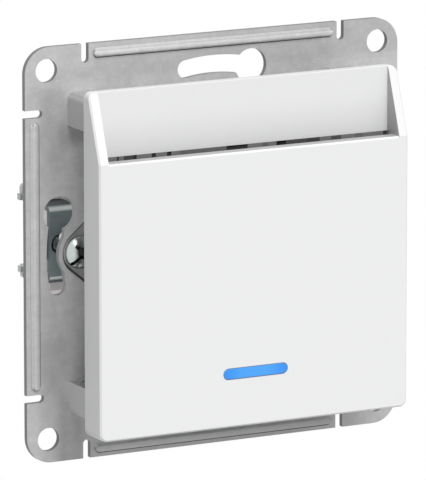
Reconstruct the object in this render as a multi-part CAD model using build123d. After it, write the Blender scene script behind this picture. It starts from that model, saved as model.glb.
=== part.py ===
from build123d import *
import math
import os

# Hotel key card switch for a standard flush wall box.
# X to the right, Z up, Y into the wall. The origin is the centre of the support plate's rear face,
# so the wall surface is y = 0 and the cover stands on the -Y side. All sizes are in millimetres.

# Shared clearances
overrun = 1.0
fit_gap = 0.05
seat_gap = 0.1
loose_gap = 0.3

# Support plate
plate_side = 71.0
plate_t = 1.0
plate_corner_r = 4.5
corner_hole_inset = 4.0
corner_hole_pitch = plate_side - 2 * corner_hole_inset
corner_hole_d = 4.0
notch_from_side = 11.2
notch_pitch = plate_side - 2 * notch_from_side
notch_w = 1.35
notch_depth = 3.2
rib_end_inset = 12.7
rib_length = plate_side - 2 * rib_end_inset
rib_w = 1.45
rib_h = 0.5
rib_from_edge = 1.55
rib_edge = 0.35
keyhole_pitch_d = 60.2
keyhole_w = 3.1
keyhole_head_d = 5.9
keyhole_head_angle = 13.6
keyhole_tail_angle = 10.2
window_side = 42.6
base_x = window_side - 2 * loose_gap
base_z = window_side - 2 * (plate_t + 2 * seat_gap)
nose_r = 4.0
nose_inward = 0.35
nose_rim = 0.75
nose_open_angle = 40.0
lug_w = 7.0
lug_length = 6.5
lug_pitch = 24.0
lug_bend_r = 0.3
lug_slot_w = 4.2
lug_slot_h = 2.0
lug_slot_from_end = 1.2

# Claw screws, saddles, nuts and claws
claw_screw_from_window = 3.7
claw_x = window_side / 2 + claw_screw_from_window
claw_screw_d = 3.0
claw_screw_length = 16.0
claw_thread_pitch = 0.5
claw_turns = 6
claw_head_d = 5.6
claw_head_h = 1.9
claw_head_dome = 1.25
saddle_t = 1.0
ear_t = 1.9
ear_inset = 0.3
ear_beyond_screw = 2.4
claw_sheet_t = 1.05
claw_web_y = 7.0
claw_web_out = 2.1
claw_web_in = 2.6
claw_web_outer = claw_x + claw_web_out
claw_web_inner = claw_x - claw_web_in
claw_half_height = 6.8
claw_bend_r = 1.4
claw_hole_d = 3.6
claw_arm_end_y = 20.6
claw_arm_out = 2.05
claw_arm_in = 0.05
claw_arm_outer = claw_x + claw_arm_out
claw_arm_inner = claw_x - claw_arm_in
claw_arm_wide_y = 11.5
claw_arm_narrow_y = 15.0
claw_foot_half_height = 8.3
claw_foot_out = 1.1
claw_foot_in = 1.8
claw_foot_outer = claw_x + claw_foot_out
claw_foot_inner = claw_x - claw_foot_in
claw_foot_corner_r = 0.8
claw_tooth_depth = 0.45
claw_tooth_pitch = 1.1
claw_teeth = 4
claw_tilt = 8.0
claw_nut_side = 5.5
claw_nut_t = 2.4
claw_nut_slope = 11.0

# Cover
card_w = 54.0
card_side_play = 0.52
funnel_w = card_w + 2 * card_side_play
beside_funnel = 1.72
cover_side = funnel_w + 2 * beside_funnel
cover_front = 16.04
cover_depth = 5.76
cover_rear = cover_front - cover_depth
cover_wall = 1.5
cover_corner_r = 1.3
cover_edge = 0.3
cover_slope_drop = 4.06
panel_from_top = 11.48
panel_top = cover_side / 2 - panel_from_top
panel_lip_t = 2.39
panel_lip_h = 3.0
panel_bevel = 0.3
funnel_wall = 1.52
funnel_back = cover_rear + funnel_wall
guide_below_panel = 0.06
guide_plate_top = panel_top - guide_below_panel
funnel_wall_gap = 0.4
funnel_wall_bottom = guide_plate_top + funnel_wall_gap
window_slot_l = 12.2
window_slot_h = 1.9
window_slot_from_edge = 9.19
window_slot_z = cover_side / 2 - window_slot_from_edge
guide_rib_w = 0.9
guide_rib_h = 0.7
guide_rib_pitch = 13.0
guide_rib_count = 4
guide_rib_to_window = 9.81
guide_rib_length = panel_top + window_slot_z - guide_rib_to_window
hook_w = 3.0
hook_t = 1.1
hook_reach = 5.2
hook_barb = 0.6
hook_barb_l = 1.2

# Carrier behind the cover
post_gap = 0.14
post_outer = cover_side / 2 - cover_wall - post_gap
post_leg = 5.7
post_wall = 1.8
post_corner_r = 1.2
carrier_floor_t = 1.6
carrier_floor_side = 0.5
carrier_floor_border = 2.2
ring_side = 0.5
ring_x = base_x + 2 * ring_side
carrier_floor_x = ring_x + 2 * carrier_floor_side
carrier_floor_z = window_side + 2 * carrier_floor_border
ring_wall = 1.4
lever_bottom_z = 11.0
lever_below_gap = 0.4
ring_bottom = lever_bottom_z + lever_below_gap + ring_wall
bearing_w = 2.0
bearing_inner = 9.0
board_post_w = 3.0
board_post_pitch = 18.0
carrier_screw_d = 2.2
carrier_screw_head_d = 4.4
carrier_screw_pitch = ring_x - 2 * ring_wall - carrier_screw_head_d - 2 * seat_gap
carrier_screw_below_ring = 0.5
carrier_screw_z = ring_bottom + carrier_screw_head_d / 2 + carrier_screw_below_ring
ring_above_screw = 0.9
ring_top = carrier_screw_z + carrier_screw_head_d / 2 + ring_wall + ring_above_screw
carrier_screw_head_h = 1.5
carrier_screw_length = 9.0
boss_floor = 0.8

# Card guide behind the card
guide_plate_t = 1.2
guide_stop_above_window = 2.05
guide_plate_bottom = window_slot_z - guide_stop_above_window
guide_side_gap = 0.3
guide_notch_depth = 1.3
card_stop_h = 1.4
card_stop_reach = 2.4
nose_window_w = 7.6
nose_window_above = 1.2
nose_window_below = 2.0
guide_notch_share = [
    (0.030, 0.012), (0.083, 0.062), (0.154, 0.018), (0.207, 0.018), (0.442, 0.070),
    (0.545, 0.016), (0.591, 0.031), (0.705, 0.040), (0.780, 0.029), (0.958, 0.027),
]

# Card lever
lever_hub_d = 4.4
lever_front_gap = 0.85
lever_pivot_y = funnel_back - fit_gap - guide_plate_t - lever_hub_d / 2 - lever_front_gap
lever_pivot_z = 9.0
lever_w = 15.0
lever_t = 1.8
lever_pin_d = 2.0
lever_rib_w = 1.2
lever_rib_h = 0.9
lever_nose_w = 6.4
lever_nose_z = 9.0
lever_nose_r = 1.0
lever_nose_front_gap = 0.64
lever_nose_reach = cover_front - cover_wall - lever_nose_front_gap
lever_nose_top_z = 2.2
lever_boss_r = 1.4
lever_boss_l = 1.9
lever_swing = 6.0

# Plunger and its spring
plunger_z = 4.0
plunger_d = 4.0
plunger_tip_r = 0.4
plunger_head_d = 8.4
plunger_head_t = 1.0
plunger_head_front = lever_pivot_y + lever_hub_d / 2 - loose_gap - lever_t - lever_boss_l
spring_mean_d = 6.1
spring_wire_d = 0.6
spring_turns = 3
spring_well_d = 7.6
spring_well_depth = 2.0
plunger_guide_d = 6.4
plunger_guide_l = 3.0

# Switch base behind the wall
cap_t = 3.0
base_corner_r = 3.0
base_back = 24.5
base_wall = 1.6
base_back_wall = 1.8
ramp_w = 1.7
arm_guide_front = 11.4
arm_guide_back = 15.8
arm_guide_w = 1.95
nub_h = 1.0
nub_w = 3.8
nub_t = 1.7
cell_wall = 1.0

# Contacts
strip_t = 0.8
blade_t = 0.5
blade_w = 5.0
rocker_pivot_y = 9.0
rocker_pivot_z = 6.0
rocker_eye_d = 2.7
rocker_pin_d = 1.2
rocker_arm = 17.0
rocker_tail = 2.2
rivet_d = 3.4
rivet_h = 0.8
rivet_dome = 0.3
contact_strip_w = 4.0
contact_gap = 0.05

# Rising cage terminals
terminal_share = 2 / 7
terminal_x = base_x * terminal_share
cage_inner_w = 4.6
cage_wall = 1.0
cage_length = 6.6
cage_back_gap = 1.1
terminal_y = base_back - base_back_wall - cage_back_gap - cage_length / 2
terminal_screw_d = 3.5
terminal_head_d = 5.6
terminal_head_h = 1.8
terminal_thread_pitch = 0.6
terminal_turns = 5
cage_travel = terminal_thread_pitch * terminal_turns
cage_top = base_z / 2 - base_wall - seat_gap - terminal_head_h - cage_travel - 2 * seat_gap
cage_cap_t = 1.2
cage_h = 11.0
cage_floor_t = 1.2
cage_floor_top = cage_top - cage_h + cage_floor_t
cage_edge = 0.5
bar_below_top = 4.4
bar_top = cage_top - bar_below_top
bar_w = 4.2
bar_end_gap = 0.4
bar_end_y = base_back - base_back_wall - bar_end_gap
terminal_slot_w = 0.8
terminal_slot_depth = 0.9
driver_hole_d = 4.0
wire_hole_w = 5.0
wire_hole_bell = 0.8

# Indicator
lens_flange = 0.9
lens_flange_t = 0.8
light_guide_gap = 0.1
light_guide_h = 3.0
light_guide_l = 13.0
light_guide_back = cover_rear + loose_gap
led_w = 3.5
led_h = 2.8
led_t = 1.1
led_dome_d = 2.0
board_t = 1.2
board_w = 24.0
board_below_window = 4.35
board_above_pins = 1.4
resistor_d = 1.9
resistor_l = 5.6
resistor_lead_d = 0.5
resistor_lead_l = 1.6
resistor_x = 5.2
pin_d = 0.8
pin_pitch = 14.0
pin_below_ring = 4.6
pin_z = ring_bottom + pin_below_ring
pin_end_y = 2.4
pin_tip = 0.4


def slab(face, back, front):
    """A face drawn in X and Z becomes a solid from y = back forward to y = front."""
    return extrude(Plane.XZ.offset(-back) * face, amount=back - front, dir=(0, -1, 0))


def side_bar(face, half_width, x=0):
    """A face drawn in Y and Z becomes a solid of twice half_width along X, centred at x."""
    return extrude(Plane.YZ.offset(x) * face, amount=half_width, both=True)


def block(x0, x1, y0, y1, z0, z1):
    """A plain block between the given faces."""
    return Pos((x0 + x1) / 2, (y0 + y1) / 2, (z0 + z1) / 2) * Box(
        abs(x1 - x0), abs(y1 - y0), abs(z1 - z0)
    )


def rod(radius, x, z, y0, y1):
    """A round bar along Y from y0 to y1."""
    return slab(Pos(x, z) * Circle(radius), max(y0, y1), min(y0, y1))


def square_bar(half, x, z, y0, y1):
    """A square bar along Y from y0 to y1."""
    return block(x - half, x + half, y0, y1, z - half, z + half)


def rod_z(radius, x, y, z0, z1):
    """A round bar along Z from z0 to z1."""
    bar = Cylinder(radius, abs(z1 - z0), align=(Align.CENTER, Align.CENTER, Align.MIN))
    return Pos(x, y, min(z0, z1)) * bar


def rod_x(radius, y, z, half_length):
    """A round bar along X, centred at x = 0."""
    return side_bar(Pos(y, z) * Circle(radius), half_length)


def mirror_x(part):
    return mirror(part, about=Plane.YZ)


def mirror_z(part):
    return mirror(part, about=Plane.XY)


def four_ways(part):
    """The same form on all four sides of the plate."""
    return [Rot(0, quarter * 90, 0) * part for quarter in range(4)]


# Positions that several pieces share
claw_travel = claw_thread_pitch * claw_turns
plate_front = -plate_t
window_half = window_side / 2
nose_x = claw_x - nose_inward
cover_half = cover_side / 2
cover_inner = cover_half - cover_wall
guide_front = -funnel_back + fit_gap
guide_back = guide_front + guide_plate_t
carrier_floor_front = plate_front - carrier_floor_t
cap_back = plate_front + cap_t
cell_half = cage_inner_w / 2 + cage_wall + seat_gap
cell_front = terminal_y - cage_length / 2 - bar_end_gap
swing = math.radians(lever_swing)
lever_arm_to_plunger = lever_pivot_z + plunger_z
plunger_travel = lever_arm_to_plunger * swing
rocker_arm_to_plunger = rocker_pivot_z + plunger_z
rocker_swing = plunger_travel / rocker_arm_to_plunger
rocker_rivet_z = rocker_pivot_z - rocker_arm
terminals = [(0.0, 1), (terminal_x, -1), (-terminal_x, -1)]
carrier_screws = [(-carrier_screw_pitch / 2, carrier_screw_z), (carrier_screw_pitch / 2, -carrier_screw_z)]


def nose_outline(inset, inner_x):
    """The rounded nose round a claw screw, opening towards the middle and cut off at inner_x, right side."""
    lean = math.radians(nose_open_angle)
    radius = nose_r - inset
    touch_x = nose_x + radius * math.sin(lean)
    touch_z = radius * math.cos(lean)
    wide_z = touch_z + (touch_x - inner_x) * math.tan(lean)
    round_end = Pos(nose_x, 0) * Circle(radius)
    flare = Polygon(
        (touch_x, touch_z), (inner_x, wide_z), (inner_x, -wide_z), (touch_x, -touch_z), align=None
    )
    kept_w = nose_x + nose_r - inner_x
    kept = Pos(inner_x + kept_w / 2, 0) * Rectangle(kept_w, 2 * wide_z + overrun)
    return (round_end + flare) & kept


def keyhole():
    """Round head for the screw and a curved slot on the box's fixing circle, above the middle."""
    pitch_r = keyhole_pitch_d / 2
    head = Rot(0, 0, -keyhole_head_angle) * Pos(0, pitch_r) * Circle(keyhole_head_d / 2)
    sweep_angle = keyhole_head_angle + keyhole_tail_angle
    arc = CenterArc((0, 0), pitch_r, 90 - keyhole_head_angle, sweep_angle)
    return head + SlotArc(arc, keyhole_w)


def edge_notches():
    """Two narrow relief notches in the top edge, with round inner ends."""
    length = notch_depth + overrun + notch_w
    slot = Rot(0, 0, 90) * SlotOverall(length, notch_w)
    middle = plate_side / 2 - notch_depth + length / 2
    return [Pos(side * notch_pitch / 2, middle) * slot for side in (-1, 1)]


def make_mounting_plate():
    half = plate_side / 2
    outline = RectangleRounded(plate_side, plate_side, plate_corner_r)
    hole_at = corner_hole_pitch / 2
    for sx in (-1, 1):
        for sz in (-1, 1):
            outline -= Pos(sx * hole_at, sz * hole_at) * Circle(corner_hole_d / 2)
    outline -= RectangleRounded(window_side, window_side, base_corner_r)
    nose = nose_outline(0, window_half - overrun)
    outline -= nose
    outline -= mirror(nose, about=Plane.YZ)
    for quarter in range(4):
        turned = Rot(0, 0, quarter * 90)
        cut = turned * keyhole()
        for side in (-1, 1):
            cut -= Pos(side * nose_x, 0) * Circle(nose_r + nose_rim)
        outline -= cut
        for notch in edge_notches():
            outline -= turned * notch
    plate = slab(outline, 0, plate_front)
    rib_z = half - rib_from_edge
    crest = slab(Pos(0, rib_z) * SlotOverall(rib_length, rib_w), plate_front + rib_h, plate_front - rib_h)
    crest = chamfer(crest.edges().group_by(Axis.Y)[0], rib_edge)
    groove = slab(Pos(0, rib_z) * Rectangle(rib_length - 2 * rib_w, rib_w / 2), overrun, -rib_h)
    for solid in four_ways(crest):
        plate += solid
    for solid in four_ways(groove):
        plate -= solid
    # Lugs bent back from the window's edge, each with a slot for the base's nub
    inner = window_half - plate_t
    bend = lug_bend_r + plate_t
    lug = Polygon(
        (plate_front, window_half + lug_bend_r),
        (plate_front, inner),
        (lug_length, inner),
        (lug_length, window_half),
        (0, window_half),
        (0, window_half + lug_bend_r),
        align=None,
    )
    lug_bar = side_bar(lug, lug_w / 2)
    outer_bend = lug_bar.edges().filter_by(Axis.X).group_by(Axis.Z)[0].group_by(Axis.Y)[0]
    lug_bar = fillet(outer_bend, bend - lug_bend_r)
    slot_end = lug_length - lug_slot_from_end
    slot = block(
        -lug_slot_w / 2, lug_slot_w / 2, slot_end - lug_slot_h, slot_end, inner - overrun, window_half + overrun
    )
    lug_bar -= slot
    for side in (-1, 1):
        one = Pos(side * lug_pitch / 2, 0, 0) * lug_bar
        plate += one
        plate += mirror_z(one)
    return plate


def make_saddle():
    """Steel washer plate that fills the nose and carries the screw's head, right side."""
    outline = nose_outline(ear_inset - fit_gap, base_x / 2 + seat_gap)
    outline -= Pos(claw_x, 0) * Circle(claw_screw_d / 2 + seat_gap)
    return slab(outline, saddle_t - fit_gap, -fit_gap)


def make_claw_screw():
    """Pan head screw with a ball-shaped dome, right side, without thread and recess."""
    head_back = -fit_gap
    rim_front = head_back - claw_head_h + claw_head_dome
    radius = claw_head_d / 2
    head = rod(radius, claw_x, 0, head_back, rim_front)
    ball_r = (radius * radius + claw_head_dome * claw_head_dome) / (2 * claw_head_dome)
    ball = Pos(claw_x, rim_front - claw_head_dome + ball_r, 0) * Sphere(ball_r)
    head += ball & rod(radius, claw_x, 0, rim_front, rim_front - claw_head_dome - overrun)
    shank = rod(claw_screw_d / 2, claw_x, 0, head_back - fit_gap, claw_screw_length)
    shank = chamfer(shank.edges().group_by(Axis.Y)[-1], claw_screw_d / 8)
    return head + shank


def make_claw_nut():
    """Square nut with a low ridge in front, on which the claw's web rocks, right side."""
    front = claw_web_y + claw_sheet_t + fit_gap
    half = claw_nut_side / 2
    fall = half * math.tan(math.radians(claw_nut_slope))
    outline = Polygon(
        (claw_x, front),
        (claw_x + half, front + fall),
        (claw_x + half, front + claw_nut_t),
        (claw_x - half, front + claw_nut_t),
        (claw_x - half, front + fall),
        align=None,
    )
    nut = extrude(Plane.XY * outline, amount=half, both=True)
    return nut - rod(claw_screw_d / 2 + fit_gap, claw_x, 0, 0, claw_screw_length)


def make_claw():
    """Spreading claw bent from sheet: a web with the screw hole, two arms with teeth, two feet."""
    t = claw_sheet_t
    back = claw_arm_end_y
    # U section seen from the side, as wide as the web at first
    outer = Polygon(
        (claw_web_y, -claw_half_height), (claw_web_y, claw_half_height),
        (back, claw_half_height), (back, -claw_half_height), align=None,
    )
    corners = outer.vertices().group_by(Axis.X)[0]
    outer = fillet(corners, claw_bend_r)
    inner_half = claw_half_height - t
    inner = Polygon(
        (claw_web_y + t, -inner_half), (claw_web_y + t, inner_half),
        (back + overrun, inner_half), (back + overrun, -inner_half), align=None,
    )
    corners = inner.vertices().group_by(Axis.X)[0]
    inner = fillet(corners, claw_bend_r - t)
    width = (claw_web_outer - claw_web_inner) / 2
    middle = (claw_web_outer + claw_web_inner) / 2
    section = side_bar(outer - inner, width, middle)
    # plan outline: full width at the web, then narrow arms whose outer edge has teeth
    tooth_start = back - t - (claw_teeth + 1) * claw_tooth_pitch
    points = [
        (claw_web_inner, claw_web_y - overrun),
        (claw_web_outer, claw_web_y - overrun),
        (claw_web_outer, claw_web_y + claw_bend_r),
        (claw_arm_outer - claw_tooth_depth, claw_arm_wide_y),
        (claw_arm_outer - claw_tooth_depth, tooth_start),
    ]
    for tooth in range(claw_teeth):
        at = tooth_start + tooth * claw_tooth_pitch
        points.append((claw_arm_outer, at))
        points.append((claw_arm_outer - claw_tooth_depth, at + claw_tooth_pitch))
    points.append((claw_arm_outer, back - t - claw_tooth_pitch))
    points.append((claw_arm_outer, back - t))
    points += [
        (claw_foot_outer, back - t),
        (claw_foot_outer, back + overrun),
        (claw_foot_inner, back + overrun),
        (claw_foot_inner, back - t),
        (claw_arm_inner, back - t - (claw_arm_inner - claw_foot_inner)),
        (claw_arm_inner, claw_arm_narrow_y),
        (claw_web_inner, claw_arm_wide_y),
    ]
    plan = extrude(Plane.XY * Polygon(*points, align=None), amount=claw_half_height + overrun, both=True)
    claw = section & plan
    foot = block(
        claw_foot_inner, claw_foot_outer, back - t, back, inner_half, claw_foot_half_height
    )
    corner = foot.edges().filter_by(Axis.Y).group_by(Axis.Z)[-1]
    foot = fillet(corner, claw_foot_corner_r)
    claw += foot
    claw += mirror_z(foot)
    return claw - rod(claw_hole_d / 2, claw_x, 0, claw_web_y - overrun, claw_web_y + t + overrun)


def ramp_points():
    """The ramp under a claw's foot follows the foot's corner as the claw comes forward and tilts."""
    pivot_y = claw_web_y + claw_sheet_t + fit_gap
    dx = claw_foot_inner - claw_x
    dy = claw_arm_end_y - claw_sheet_t - pivot_y
    tilt = math.radians(-claw_tilt)
    end_x = claw_x + dx * math.cos(tilt) - dy * math.sin(tilt)
    end_y = pivot_y - claw_travel + dx * math.sin(tilt) + dy * math.cos(tilt)
    start_y = claw_arm_end_y - claw_sheet_t
    side = base_x / 2 - overrun
    return [
        (side, end_y - (end_x - base_x / 2) / 2),
        (end_x - loose_gap, end_y - loose_gap),
        (claw_foot_inner - loose_gap, start_y),
        (base_x / 2 + loose_gap, claw_arm_end_y + claw_sheet_t),
        (side, claw_arm_end_y + claw_sheet_t),
    ]


def make_cover():
    """Front cover with the card slot, the open funnel above it and the sloping upper rims."""
    front = -cover_front
    rear = -cover_rear
    body = slab(RectangleRounded(cover_side, cover_side, cover_corner_r), rear, front)
    # the side rims fall back above the front panel
    slope = Polygon(
        (front - overrun, panel_top),
        (front, panel_top),
        (front + cover_slope_drop, cover_half),
        (front + cover_slope_drop, cover_half + overrun),
        (front - overrun, cover_half + overrun),
        align=None,
    )
    body -= side_bar(slope, cover_half + overrun)
    front_edges = body.edges().filter_by(
        lambda e: e.center().Y < front + cover_slope_drop + fit_gap and abs(e.center().Z - panel_top) > fit_gap
    )
    body = chamfer(front_edges, cover_edge)
    # cavity behind the front panel, with a thicker lip along the card slot
    cavity = Polygon(
        (rear + overrun, -cover_inner),
        (front + cover_wall, -cover_inner),
        (front + cover_wall, panel_top - panel_lip_h),
        (front + panel_lip_t, panel_top - panel_lip_h + (panel_lip_t - cover_wall)),
        (front + panel_lip_t, funnel_wall_bottom),
        (-funnel_back, funnel_wall_bottom),
        (rear + overrun, funnel_wall_bottom),
        align=None,
    )
    body -= side_bar(cavity, cover_inner)
    # open funnel above the panel, as wide as the card with its play
    half_funnel = funnel_w / 2
    funnel = Polygon(
        (front - overrun, panel_top), (-funnel_back, panel_top),
        (-funnel_back, cover_half + overrun), (front - overrun, cover_half + overrun), align=None,
    )
    body -= side_bar(funnel, half_funnel)
    # the panel's top edge is bevelled between the rims
    bevel = Polygon(
        (front - overrun, panel_top - panel_bevel - overrun),
        (front - overrun, panel_top + overrun),
        (front + panel_bevel + overrun, panel_top + overrun),
        align=None,
    )
    body -= side_bar(bevel, half_funnel)
    # shallow pocket behind the top wall keeps the wall even
    lighten = block(
        -half_funnel + cover_wall, half_funnel - cover_wall, rear - cover_wall / 3, rear + overrun,
        funnel_wall_bottom + cover_wall, cover_half - cover_wall,
    )
    body -= lighten
    body -= slab(
        Pos(0, -window_slot_z) * SlotOverall(window_slot_l + 2 * fit_gap, window_slot_h + 2 * fit_gap),
        front + cover_wall + overrun, front - overrun,
    )
    # ribs behind the panel keep the card off the wall
    rib_y0 = front + cover_wall
    rib_low = panel_top - panel_lip_h - guide_rib_length
    for index in range(guide_rib_count):
        x = (index - (guide_rib_count - 1) / 2) * guide_rib_pitch
        body += block(
            x - guide_rib_w / 2, x + guide_rib_w / 2, rib_y0, rib_y0 + guide_rib_h,
            rib_low, panel_top - panel_lip_h,
        )
    # snap hooks that grip inside the carrier's corner posts
    leg_inner = post_outer - post_wall - seat_gap
    root_top = rear - cover_wall
    for sx in (-1, 1):
        for sz in (-1, 1):
            z_mid = sz * (post_outer - post_leg / 2 - hook_w / 4)
            root = root_top if sz > 0 else front + cover_wall
            hook_end = rear + hook_reach
            profile = Polygon(
                (leg_inner - hook_t, root),
                (leg_inner, root),
                (leg_inner, hook_end - hook_barb_l),
                (leg_inner + hook_barb, hook_end - hook_barb_l + hook_barb / 2),
                (leg_inner, hook_end),
                (leg_inner - hook_t, hook_end),
                align=None,
            )
            hook = extrude(Plane.XY.offset(z_mid) * profile, amount=hook_w / 2, both=True)
            body += hook if sx > 0 else mirror_x(hook)
    return body


def make_carrier():
    """White carrier: floor on the plate, a ring wall round the lever and four corner posts."""
    front = carrier_floor_front
    floor = RectangleRounded(carrier_floor_x, carrier_floor_z, post_corner_r)
    carrier = slab(floor, plate_front, front)
    ring_h = ring_top + ring_bottom
    ring = Rectangle(ring_x, ring_h) - Rectangle(ring_x - 2 * ring_wall, ring_h - 2 * ring_wall)
    ring = Pos(0, (ring_top - ring_bottom) / 2) * ring
    carrier += slab(ring, front, -cover_rear + seat_gap)
    seat_h = guide_plate_top + ring_bottom
    seat = ring & (Pos(0, (guide_plate_top - ring_bottom) / 2) * Rectangle(ring_x, seat_h))
    carrier += slab(seat, front, guide_back)
    # L-shaped posts with their legs inwards, joined to the floor by short arms
    leg_in = post_outer - post_leg
    for sx in (-1, 1):
        for sz in (-1, 1):
            corner = Polygon(
                (leg_in, post_outer), (post_outer, post_outer), (post_outer, leg_in),
                (post_outer - post_wall, leg_in), (post_outer - post_wall, post_outer - post_wall),
                (leg_in, post_outer - post_wall), align=None,
            )
            outer_corner = corner.vertices().sort_by(lambda v: v.X + v.Y)[-1]
            corner = fillet(outer_corner, post_corner_r)
            arm = Polygon(
                (leg_in - post_leg, leg_in - post_leg), (post_outer - post_corner_r, leg_in),
                (post_outer - post_corner_r, post_outer - post_corner_r),
                (leg_in, post_outer - post_corner_r), align=None,
            )
            top = -cover_rear + seat_gap if sz > 0 else -cover_front + cover_wall + seat_gap
            post = slab(corner, plate_front, top)
            post += slab(arm, plate_front, front)
            if sx < 0:
                post = mirror_x(post)
            if sz < 0:
                post = mirror_z(post)
            carrier += post
            # blind recess for the cover's barb
            recess_y = -cover_rear + hook_reach - hook_barb_l - seat_gap
            z_mid = sz * (post_outer - post_leg / 2 - hook_w / 4)
            near = post_outer - post_wall - overrun
            far = post_outer - post_wall + hook_barb + seat_gap
            recess = block(
                near, far, recess_y, recess_y + hook_barb_l + 2 * seat_gap,
                z_mid - hook_w / 2 - seat_gap, z_mid + hook_w / 2 + seat_gap,
            )
            carrier -= recess if sx > 0 else mirror_x(recess)
    # bearings of the lever's pin
    hub_r = lever_hub_d / 2
    bearing = Polygon(
        (front + overrun / 2, lever_pivot_z - hub_r - bearing_w),
        (-lever_pivot_y, lever_pivot_z - hub_r),
        (-lever_pivot_y, lever_pivot_z + hub_r),
        (front + overrun / 2, lever_pivot_z + hub_r + bearing_w),
        align=None,
    )
    bearing += Pos(-lever_pivot_y, lever_pivot_z) * Circle(hub_r)
    bearing_x = bearing_inner + bearing_w / 2
    for sx in (-1, 1):
        carrier += side_bar(bearing, bearing_w / 2, sx * bearing_x)
    carrier -= rod_x(lever_pin_d / 2, -lever_pivot_y, lever_pivot_z, bearing_x + bearing_w)
    # stops under the indicator's board
    board_back = -light_guide_back + led_t + board_t + light_guide_gap
    for sx in (-1, 1):
        x = sx * board_post_pitch / 2
        carrier += block(
            x - board_post_w / 2, x + board_post_w / 2, board_back, front + overrun / 2,
            -window_slot_z - board_post_w / 2, -window_slot_z + board_post_w / 2,
        )
    # holes for the plunger, the lamp's pins and the screws
    carrier -= rod(plunger_head_d / 2 + loose_gap, 0, -plunger_z, 0, front - overrun)
    for sx in (-1, 1):
        carrier -= square_bar(pin_d / 2 + fit_gap, sx * pin_pitch / 2, -pin_z, 0, front - overrun)
    for x, z in carrier_screws:
        carrier -= rod(carrier_screw_d / 2 + seat_gap, x, z, 0, front - overrun)
    return carrier


def make_card_guide():
    """Rear wall of the card's pocket: comb-like top edge, window for the lever's nose, card stop."""
    half = cover_inner - guide_side_gap
    top = guide_plate_top
    bottom = -guide_plate_bottom
    wall = slab(Pos(0, (top + bottom) / 2) * Rectangle(2 * half, top - bottom), guide_back, guide_front)
    for centre_share, width_share in guide_notch_share:
        x = (centre_share - 0.5) * funnel_w
        w = width_share * funnel_w / 2
        wall -= block(x - w, x + w, guide_front - overrun, guide_back + overrun, top - guide_notch_depth, top + overrun)
    wall -= block(
        -nose_window_w / 2, nose_window_w / 2, guide_front - overrun, guide_back + overrun,
        -lever_bottom_z - nose_window_below, -lever_nose_top_z + nose_window_above,
    )
    stop_front = guide_front - card_stop_reach
    stop = Polygon(
        (guide_front + fit_gap, bottom), (stop_front, bottom),
        (stop_front, bottom + card_stop_h), (guide_front + fit_gap, bottom + card_stop_h), align=None,
    )
    stop = fillet(stop.vertices().group_by(Axis.X)[0], card_stop_h / 3)
    return wall + side_bar(stop, card_w / 2)


def make_lever():
    """Rocking lever whose nose stands in the card's path."""
    y = -lever_pivot_y
    z = lever_pivot_z
    hub_r = lever_hub_d / 2
    plate_front_y = y - hub_r + loose_gap
    plate = block(
        -lever_w / 2, lever_w / 2, plate_front_y, plate_front_y + lever_t, -lever_bottom_z, z - hub_r / 2
    )
    lever = plate + rod_x(hub_r, y, z, lever_w / 2)
    # nose with a long lead-in above, blunt tip and a return below
    tip_y = -lever_nose_reach
    nose = Polygon(
        (plate_front_y + lever_t / 2, -lever_nose_top_z),
        (tip_y, -lever_nose_z + lever_nose_r),
        (tip_y, -lever_nose_z - lever_nose_r),
        (plate_front_y + lever_t / 2, -lever_bottom_z),
        align=None,
    )
    nose = fillet(nose.vertices().group_by(Axis.X)[0], lever_nose_r * 0.8)
    lever += side_bar(nose, lever_nose_w / 2)
    # stiffening ribs at the sides
    rib = Polygon(
        (plate_front_y + lever_t / 2, z), (y + hub_r / 2, z),
        (plate_front_y + lever_t + lever_rib_h, z - lever_hub_d),
        (plate_front_y + lever_t + lever_rib_h, -lever_bottom_z + lever_rib_h),
        (plate_front_y + lever_t / 2, -lever_bottom_z), align=None,
    )
    for sx in (-1, 1):
        lever += side_bar(rib, lever_rib_w / 2, sx * (lever_w - lever_rib_w) / 2)
    # round boss that pushes the plunger
    boss = rod(lever_boss_r, 0, -plunger_z, plate_front_y + lever_t / 2, -plunger_head_front - fit_gap)
    lever += chamfer(boss.edges().group_by(Axis.Y)[-1], lever_boss_r / 2)
    return lever - rod_x(lever_pin_d / 2 + fit_gap, y, z, lever_w)


def make_lever_pin():
    return rod_x(lever_pin_d / 2, -lever_pivot_y, lever_pivot_z, bearing_inner + bearing_w)


def make_plunger():
    """Plunger with a flat head in front and a tapered nose behind."""
    head_front = -plunger_head_front
    head_back = head_front + plunger_head_t
    r = plunger_d / 2
    tip = rocker_pivot_y - blade_t / 2 - fit_gap
    head = rod(plunger_head_d / 2, 0, -plunger_z, head_front, head_back)
    shaft = rod(r, 0, -plunger_z, head_back, tip)
    return head + chamfer(shaft.edges().group_by(Axis.Y)[-1], r - plunger_tip_r)


def make_plunger_spring():
    """Coil of quarter-turn arcs between the plunger's head and the cap's well, its wire six-sided."""
    wire_r = spring_wire_d / 2
    start = -plunger_head_front + plunger_head_t + wire_r + fit_gap
    stop = plate_front + spring_well_depth - wire_r - fit_gap
    mean_r = spring_mean_d / 2
    steps = 4 * spring_turns
    rise = (stop - start) / steps
    point = lambda n: Vector(
        mean_r * math.cos(n * math.pi / 2), start + n * rise, -plunger_z + mean_r * math.sin(n * math.pi / 2)
    )
    slope = rise / (mean_r * math.pi / 2)
    heading = lambda n: Vector(-math.sin(n * math.pi / 2), slope, math.cos(n * math.pi / 2)).normalized()
    edges = []
    for n in range(steps):
        edges += biarc(point(n), heading(n), point(n + 1), heading(n + 1))
    path = Wire(edges)
    section = Plane(origin=point(0), z_dir=heading(0)) * RegularPolygon(wire_r, 6)
    return sweep(section, path=path)


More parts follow.
